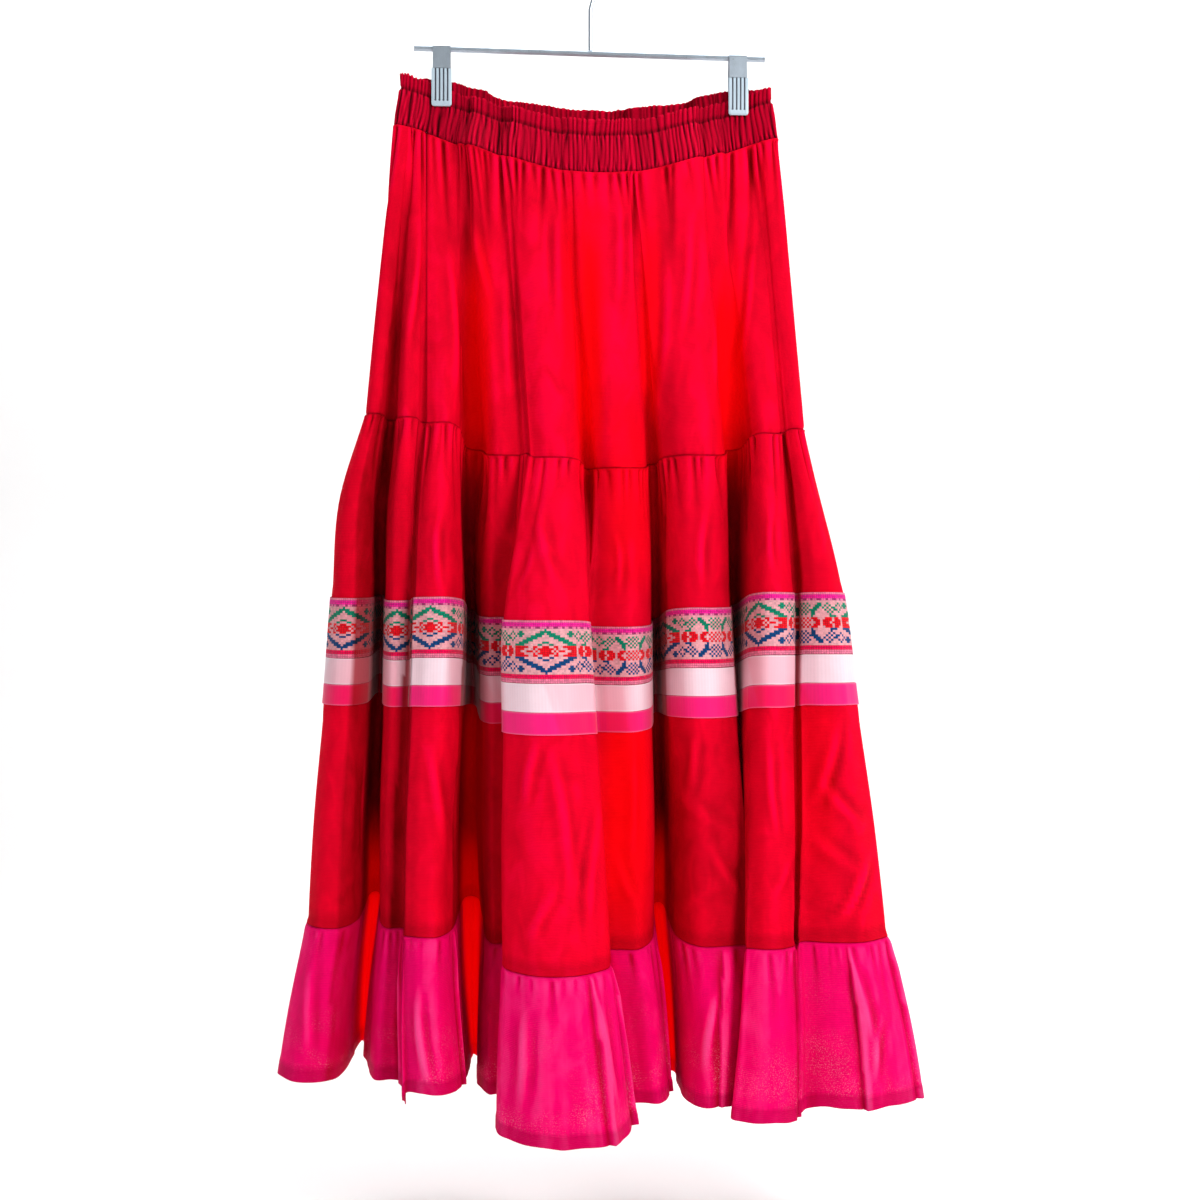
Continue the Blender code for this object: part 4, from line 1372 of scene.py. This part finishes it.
def chart_threads():
    """The band's stripes and figures as one repeat of thread names, a row for each row of cells."""
    wide = 2 * WOVEN_HALF
    ground = [["ground"] * wide for row in range(2 * WOVEN_ROWS_EACH_SIDE + 1)]
    for line in WOVEN_CHART:
        for low, high in line.spans:
            for column in range(low, high + 1):
                for row in (WOVEN_ROWS_EACH_SIDE - line.row, WOVEN_ROWS_EACH_SIDE + line.row):
                    thread = "red"
                    if line.thread == "edge":
                        thread = "green" if row < WOVEN_ROWS_EACH_SIDE else "blue"
                    ground[row][column % wide] = thread
                    ground[row][-column % wide] = thread
    rows = []
    for stripe in WOVEN_STRIPES:
        for k in range(stripe.rows):
            if stripe.thread == "ground":
                rows.append(ground[k])
            elif stripe.thread == "rose":
                rows.append(["dark" if column % 7 in (1, 4, 5) else "rose" for column in range(wide)])
            else:
                rows.append([stripe.thread] * wide)
    return rows


class SKIRT_OT_trims(bpy.types.Operator):
    """Lays the woven band and the two satin ribbons round the middle tier"""

    bl_idname = "skirt.trims"
    bl_label = "Band and ribbons"

    def lay(self, cloth, name, finish, start, end, walked, across, rows, on):
        columns = cloth.column_at(walked)
        down = np.linspace(start, end, rows)
        if name != "trim_woven":
            close = np.array((0.0, 0.5, 1.0, 1.8)) * MM
            middle = np.linspace(start + 4 * MM, end - 4 * MM, rows - 8)
            down = np.concatenate((start + close, middle, end - close[::-1]))
        down = cloth.knots[2] + down
        points, normals, _ = tier_surface(cloth, columns, walked, down)
        normals[..., 2] = 0
        normals /= np.linalg.norm(normals, axis=2, keepdims=True)
        pucker = cloth.ripple(41, 420, walked) * 0.22 * MM
        near = np.minimum(down - down[0], down[-1] - down)
        edge = np.exp(-((near / (0.7 * MM)) ** 2))
        points = points + normals * (TRIM_LIFT + pucker * (1 - 0.6 * edge[:, None]))[..., None]
        # Painted light and shade on the ribbons' facets, slanting down the ribbon.
        lean = 0.5 * (down - cloth.knots[2])[:, None]
        slant = walked + lean * cloth.ripple(45, 12, walked)
        facet = cloth.ripple(43, 70, slant) + 0.5 * cloth.ripple(44, 24, slant)
        marks = {
            "tone": painted_fold_shade(cloth, walked, down, 0.05) ** 0.6,
            "seam": np.repeat((edge * 0.9)[:, None], len(walked), 1),
            "facet": smooth_step(-0.1, 0.25, facet) * 0.35 + smooth_step(0.5, 0.7, facet) * 0.3,
        }
        piece = grid_mesh("cloth_" + name, points, across, down - down[0], marks, TRIM_THICKNESS, True)
        finish_piece(piece, finish, [name])
        return piece

    def execute(self, context):
        cloth = tier_cloth()
        sizes = context.scene.skirt_sizes
        on = ["tier_front", "tier_back"]
        rows = sum(stripe.rows for stripe in WOVEN_STRIPES)
        cell = sizes.woven_cell
        used = np.array([run.used for run in WOVEN_RUNS]) * MM
        walked = np.array([run.walked for run in WOVEN_RUNS]) * MM
        first = math.ceil(used[0] / cell)
        last = math.floor(used[-1] / cell)
        edges = (np.arange(first, last + 1) - 0.5) * cell
        places = np.interp(edges, used, walked)
        width = sizes.woven_width
        band = self.lay(cloth, "trim_woven", "Skirt woven band", 0.0, width, places, edges, rows + 1, on)
        self.colour_threads(context, band, first, rows)
        low = width + 2 * SEAM_GAP
        _, even = even_columns(cloth, FRONT_START, RING_COLUMNS + FRONT_START, RIBBON_COLUMNS)
        high = low + sizes.pale_width
        self.lay(cloth, "ribbon_pale", "Skirt pale satin", low, high, even, even, 13, on)
        low = high + 2 * SEAM_GAP
        self.lay(cloth, "ribbon_hot", "Skirt hot satin", low, TRIM_LENGTH, even, even, 12, on)
        return {"FINISHED"}

    def colour_threads(self, context, band, first, rows):
        look = context.scene.skirt_looks
        names = ("ground", "green", "blue", "red", "magenta", "crimson", "selvedge", "rose", "dark")
        threads = {name: getattr(look, "thread_" + name) for name in names}
        chart = chart_threads()
        wide = 2 * WOVEN_HALF
        mesh = band.data
        uv = np.empty(len(mesh.loops) * 2, np.float32)
        mesh.uv_layers[0].data.foreach_get("uv", uv)
        uv = uv.reshape(-1, 2)
        low = uv.min(axis=0)
        high = uv.max(axis=0)
        cell = context.scene.skirt_sizes.woven_cell
        cells = int(round((high[0] - low[0]) / cell))
        colours = np.ones((len(mesh.loops), 4), np.float32)
        fleck = np.random.RandomState(5).uniform(0.84, 1.12, (rows, cells))
        for face in mesh.polygons:
            loops = list(face.loop_indices)
            middle = uv[loops].mean(axis=0)
            column = min(int((middle[0] - low[0]) / cell), cells - 1)
            row = min(int((middle[1] - low[1]) / (high[1] - low[1]) * rows), rows - 1)
            thread = chart[row][(column + first) % wide]
            raised = 0.0 if thread == "ground" else 1.0
            for loop in loops:
                colours[loop, :3] = [c * fleck[row, column] for c in threads[thread]]
                colours[loop, 3] = raised
        layer = mesh.color_attributes.new("Thread", "FLOAT_COLOR", "CORNER")
        layer.data.foreach_set("color", colours.ravel())


def select_where(piece, kind, test):
    """Selects the faces or edges of the piece in edit mode whose middle passes the test."""
    bpy.ops.mesh.select_mode(type="EDGE" if kind == "edges" else "FACE")
    bpy.ops.mesh.select_all(action="DESELECT")
    mesh = bmesh.from_edit_mesh(piece.data)
    for part in getattr(mesh, kind):
        middle = sum((v.co for v in part.verts), Vector()) / len(part.verts)
        if test(middle, part):
            part.select_set(True)
    mesh.select_flush_mode()
    bmesh.update_edit_mesh(piece.data)


def edit_all():
    """Opens the active piece for editing, all of it selected."""
    bpy.ops.object.mode_set(mode="EDIT")
    bpy.ops.mesh.select_all(action="SELECT")


def add_box(name, low, high):
    """A box between two corners, its mesh in place and its origin left at the hook."""
    bpy.ops.object.select_all(action="DESELECT")
    bpy.ops.mesh.primitive_cube_add(size=1.0, location=(0, 0, 0))
    piece = bpy.context.object
    piece.name = piece.data.name = name
    edit_all()
    bpy.ops.transform.resize(value=tuple(h - l for l, h in zip(low, high)), center_override=(0, 0, 0))
    bpy.ops.transform.translate(value=tuple(0.5 * (h + l) for l, h in zip(low, high)))
    bpy.ops.object.mode_set(mode="OBJECT")
    return piece


def bevel_edges(piece, width):
    edge = piece.modifiers.new("Edges", "BEVEL")
    edge.width = width
    edge.segments = 2
    edge.limit_method = "ANGLE"
    edge.angle_limit = math.radians(30)
    bpy.context.view_layer.objects.active = piece
    bpy.ops.object.modifier_apply(modifier="Edges")


class SKIRT_OT_clip_plates(bpy.types.Operator):
    """Makes the grooved front plates of the two clips, with a small pin under each groove"""

    bl_idname = "skirt.clip_plates"
    bl_label = "Clip plates"

    def plate(self, side, node, sizes):
        low, high = (Vector(corner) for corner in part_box(node))
        middle = 0.5 * (low.x + high.x)
        piece = add_box("clip_plate_" + side, low, high)
        bpy.ops.object.mode_set(mode="EDIT")
        half = 0.5 * (high.x - low.x)
        near = 0.01 * MM

        def lower_corner(m, edge):
            return m.z < low.z + near and abs(abs(m.x - middle) - half) < near

        select_where(piece, "edges", lower_corner)
        bpy.ops.mesh.bevel(offset=sizes.clip_corner, segments=5, affect="EDGES")
        pitch = (high.x - low.x) / (sizes.clip_grooves + 1)
        half = 0.5 * sizes.clip_groove_width
        grooves = [low.x + pitch * (k + 1) for k in range(sizes.clip_grooves)]
        for groove in grooves:
            for edge in (groove - half, groove + half):
                bpy.ops.mesh.select_all(action="SELECT")
                bpy.ops.mesh.bisect(plane_co=(edge, 0, 0), plane_no=(1, 0, 0))
        lip = low.z + sizes.clip_lip
        bpy.ops.mesh.select_all(action="SELECT")
        bpy.ops.mesh.bisect(plane_co=(0, 0, lip), plane_no=(0, 0, 1))

        def in_groove(m, face):
            return face.normal.y < -0.5 and m.z > lip and min(abs(m.x - g) for g in grooves) < half

        select_where(piece, "faces", in_groove)
        bpy.ops.mesh.extrude_region_move(TRANSFORM_OT_translate={"value": (0, sizes.clip_groove_depth, 0)})
        bpy.ops.mesh.select_more()
        # The groove faces and walls take the dark steel: a painted shadow inside the grooves.
        for finish in ("Skirt clip steel", "Skirt dark steel"):
            piece.data.materials.append(materials()[finish])
        piece.active_material_index = 1
        bpy.ops.object.material_slot_assign()
        bpy.ops.object.mode_set(mode="OBJECT")
        bevel_edges(piece, PLATE_EDGE)
        bpy.ops.object.shade_smooth_by_angle(angle=SMOOTH_ANGLE)
        pins = []
        for groove in grooves:
            bpy.ops.object.select_all(action="DESELECT")
            bpy.ops.mesh.primitive_cylinder_add(
                vertices=20, radius=sizes.clip_pin, depth=PIN_LENGTH, location=(0, 0, 0)
            )
            pin = bpy.context.object
            edit_all()
            bpy.ops.transform.rotate(value=math.pi / 2, orient_axis="X", center_override=(0, 0, 0))
            bpy.ops.transform.translate(value=(groove, low.y + 0.2 * MM, lip + 0.7 * MM))
            bpy.ops.object.mode_set(mode="OBJECT")
            pins.append(pin)
        for pin in pins:
            pin.select_set(True)
        bpy.context.view_layer.objects.active = pins[0]
        bpy.ops.object.join()
        pins[0].name = pins[0].data.name = "clip_pins_" + side
        pins[0].data.materials.append(materials()["Skirt dark steel"])
        bevel_edges(pins[0], PIN_EDGE)
        bpy.ops.object.shade_smooth_by_angle(angle=SMOOTH_ANGLE)
        return piece, pins[0]

    def execute(self, context):
        for side in ("left", "right"):
            node = "clip_" + side + "_jaw"
            plate, pins = self.plate(side, node, context.scene.skirt_sizes)
            for piece in (plate, pins):
                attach(piece, "root")
                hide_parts(node)
        return {"FINISHED"}


class SKIRT_OT_hanger(bpy.types.Operator):
    """Gives the bar, hook and clip springs their polished steel"""

    bl_idname = "skirt.hanger"
    bl_label = "Hanger and springs"

    def execute(self, context):
        steel = materials()["Skirt steel"]
        for node in ("hanger_bar", "hanger_hook", "clip_left_spring", "clip_right_spring"):
            piece = bpy.data.objects[node]
            for slot in piece.material_slots:
                slot.material = steel
        return {"FINISHED"}


class SKIRT_OT_stage(bpy.types.Operator):
    """Sets the pale floor, the soft lights and the camera"""

    bl_idname = "skirt.stage"
    bl_label = "Stage"

    def execute(self, context):
        scene = context.scene
        stage = scene.skirt_stage
        bpy.ops.object.select_all(action="DESELECT")
        bpy.ops.mesh.primitive_plane_add(size=1.0, location=(0, 0, 0))
        sweep = context.object
        sweep.name = sweep.data.name = "sweep"
        edit_all()
        bpy.ops.transform.resize(value=SWEEP_SIZE, center_override=(0, 0, 0))
        bpy.ops.transform.translate(value=(0, 0.5 * WALL_PLACE - 2.0, FLOOR_HEIGHT))
        select_where(sweep, "edges", lambda m, e: m.y > WALL_PLACE - 1e-4)
        bpy.ops.mesh.extrude_edges_move(TRANSFORM_OT_translate={"value": (0, 0, WALL_RISE)})
        select_where(
            sweep, "edges", lambda m, e: m.y > WALL_PLACE - 1e-4 and abs(m.z - FLOOR_HEIGHT) < 1e-4
        )
        bpy.ops.mesh.bevel(offset=SWEEP_ROUND, segments=14, affect="EDGES")
        bpy.ops.mesh.select_all(action="SELECT")
        bpy.ops.mesh.normals_make_consistent(inside=False)
        bpy.ops.object.mode_set(mode="OBJECT")
        bpy.ops.object.shade_smooth()
        paint, _, shader = new_material("Stage paint")
        set_inputs(shader, Base_Color=(0.93, 0.93, 0.93, 1), Roughness=0.9)
        sweep.data.materials.append(paint)
        world = bpy.data.worlds.new("Studio")
        scene.world = world
        world.use_nodes = True
        set_inputs(world.node_tree.nodes["Background"], Color=(1, 1, 1, 1), Strength=stage.ambient)
        lamps = (
            ("Key", (1.3, -2.1, 0.6), LIGHT_AIM, 0.8, stage.key_power),
            ("Fill", (-1.9, -2.0, -0.2), LIGHT_AIM, 1.8, stage.fill_power),
            ("Rim", (2.2, 0.5, -0.2), LIGHT_AIM, 1.2, stage.rim_power),
            ("Backdrop", (0.0, 0.5, 2.4), (0.0, 2.0, -0.8), 2.6, stage.backdrop_power),
        )
        for name, place, target, size, power in lamps:
            light = bpy.data.lights.new(name, "AREA")
            light.shape = "SQUARE"
            light.size = size
            light.energy = power
            lamp = bpy.data.objects.new(name, light)
            lamp.location = place
            aim = Vector(target) - Vector(place)
            lamp.rotation_euler = aim.to_track_quat("-Z", "Y").to_euler()
            scene.collection.objects.link(lamp)
        camera = bpy.data.cameras.new("Camera")
        camera.sensor_width = 36.0
        camera.lens = stage.lens
        camera.clip_end = 50.0
        eye = bpy.data.objects.new("Camera", camera)
        turn = stage.camera_turn
        far = stage.camera_distance
        eye.location = (CAMERA_ASIDE - far * math.sin(turn), -far * math.cos(turn), CAMERA_HEIGHT)
        eye.rotation_euler = (math.pi / 2, 0, -turn)
        scene.collection.objects.link(eye)
        scene.camera = eye
        scene.view_settings.view_transform = "Standard"
        return {"FINISHED"}


def colour_property(name, description, default):
    return FloatVectorProperty(
        name=name, description=description, subtype="COLOR", size=3, min=0, max=1, default=default
    )


def length_property(name, description, default):
    return FloatProperty(name=name, description=description, unit="LENGTH", default=default)


class SkirtSizes(bpy.types.PropertyGroup):
    gathers: IntProperty(name="Gathers", description="Gathers round the whole waistband", default=166)
    woven_width: length_property("Woven band width", "Height of the woven band", 0.05)
    woven_cell: length_property("Woven cell", "Width of one stitch of the woven figures", 0.00175)
    pale_width: length_property("Pale ribbon width", "Height of the pale ribbon", 0.022)
    hem_turn: length_property("Hem turn-up", "Height of the turned hem", 0.011)
    clip_grooves: IntProperty(name="Clip grooves", description="Grooves down each clip plate", default=4)
    clip_groove_width: length_property("Clip groove width", "Across one groove", 0.0013)
    clip_groove_depth: length_property("Clip groove depth", "Into the plate", 0.0008)
    clip_lip: length_property("Clip lip", "Plain strip under the grooves", 0.0045)
    clip_corner: length_property("Clip corner", "Rounding of the plate's lower corners", 0.0022)
    clip_pin: length_property("Clip pin", "Radius of the pin under each groove", 0.0009)


class SkirtLooks(bpy.types.PropertyGroup):
    # The fold and ridge colours are painted shade and painted highlight; lit through is a painted glow.
    poplin_red: colour_property("Poplin red", "Yoke and middle tier", (0.94, 0.0, 0.024))
    poplin_painted_highlight: colour_property("Poplin ridges", "Yoke and tier on their ridges", (1.0, 0.0, 0.058))
    poplin_painted_shade: colour_property("Poplin in the folds", "Yoke and tier between folds", (0.26, 0.0, 0.002))
    casing_painted_shade: colour_property("Casing in the gathers", "Waistband between gathers", (0.06, 0.0, 0.003))
    flounce_deep: colour_property("Flounce in the folds", "Hem tier between folds", (0.48, 0.0, 0.022))
    poplin_lit_through: colour_property("Lit through", "Poplin where light comes through", (0.95, 0.0, 0.0))
    casing_crimson: colour_property("Casing crimson", "Waistband", (0.70, 0.0, 0.028))
    casing_painted_highlight: colour_property("Casing ridges", "Waistband on its ridges", (0.76, 0.004, 0.05))
    flounce_pink: colour_property("Flounce pink", "Hem tier", (1.0, 0.0, 0.155))
    flounce_bright: colour_property("Flounce ridges", "Hem tier on its ridges", (1.0, 0.06, 0.27))
    pale_satin: colour_property("Pale satin", "Upper ribbon", (1.0, 0.74, 0.82))
    hot_satin: colour_property("Hot satin", "Lower ribbon", (1.0, 0.010, 0.20))
    thread_ground: colour_property("Ground", "Woven band ground", (0.86, 0.40, 0.44))
    thread_green: colour_property("Green", "Upper figures", (0.0, 0.27, 0.15))
    thread_blue: colour_property("Blue", "Lower figures", (0.0, 0.06, 0.22))
    thread_red: colour_property("Red", "Middle figures", (0.92, 0.0, 0.012))
    thread_magenta: colour_property("Magenta", "Top stripe", (1.0, 0.012, 0.34))
    thread_crimson: colour_property("Crimson", "Lower stripe", (0.97, 0.0, 0.09))
    thread_selvedge: colour_property("Selvedge", "Band edges", (0.95, 0.22, 0.36))
    thread_rose: colour_property("Rose", "Under the top stripe", (0.95, 0.20, 0.42))
    thread_dark: colour_property("Dark", "Specks under the top stripe", (0.42, 0.03, 0.16))


class SkirtStage(bpy.types.PropertyGroup):
    ambient: FloatProperty(name="Ambient", description="Light from all round", default=0.1)
    key_power: FloatProperty(name="Key", description="Watts of the main light", default=46.0)
    fill_power: FloatProperty(name="Fill", description="Watts of the fill light", default=9.0)
    rim_power: FloatProperty(name="Rim", description="Watts of the light from the right", default=10.0)
    backdrop_power: FloatProperty(name="Backdrop", description="Watts on the floor and wall", default=110.0)
    lens: FloatProperty(name="Lens", description="Focal length in millimetres", default=49.14)
    camera_turn: FloatProperty(
        name="Camera turn", description="Turn to the left", unit="ROTATION", default=math.radians(3.5)
    )
    camera_distance: length_property("Camera distance", "From the skirt's middle", 1.4)


OPERATORS = (
    SKIRT_OT_waistband,
    SKIRT_OT_yoke,
    SKIRT_OT_tier,
    SKIRT_OT_flounce,
    SKIRT_OT_trims,
    SKIRT_OT_clip_plates,
    SKIRT_OT_hanger,
    SKIRT_OT_stage,
)


class SKIRT_PT_panel(bpy.types.Panel):
    """Lists the skirt's pieces and its sizes"""

    bl_idname = "SKIRT_PT_panel"
    bl_label = "Tiered skirt"
    bl_space_type = "VIEW_3D"
    bl_region_type = "UI"
    bl_category = "Skirt"

    def draw(self, context):
        for operator in OPERATORS:
            self.layout.operator(operator.bl_idname)
        for group in (context.scene.skirt_sizes, context.scene.skirt_looks, context.scene.skirt_stage):
            box = self.layout.box()
            for name in group.bl_rna.properties.keys():
                if name not in ("rna_type", "name"):
                    box.prop(group, name)


GROUPS = (("skirt_sizes", SkirtSizes), ("skirt_looks", SkirtLooks), ("skirt_stage", SkirtStage))


def register():
    for name, group in GROUPS:
        bpy.utils.register_class(group)
        setattr(bpy.types.Scene, name, PointerProperty(type=group))
    for operator in OPERATORS:
        bpy.utils.register_class(operator)
    bpy.utils.register_class(SKIRT_PT_panel)


def unregister():
    bpy.utils.unregister_class(SKIRT_PT_panel)
    for operator in reversed(OPERATORS):
        bpy.utils.unregister_class(operator)
    for name, group in reversed(GROUPS):
        delattr(bpy.types.Scene, name)
        bpy.utils.unregister_class(group)


def main():
    register()
    bpy.ops.skirt.waistband()
    bpy.ops.skirt.yoke()
    bpy.ops.skirt.tier()
    bpy.ops.skirt.flounce()
    bpy.ops.skirt.trims()
    bpy.ops.skirt.clip_plates()
    bpy.ops.skirt.hanger()
    bpy.ops.skirt.stage()


if __name__ == "__main__":
    main()
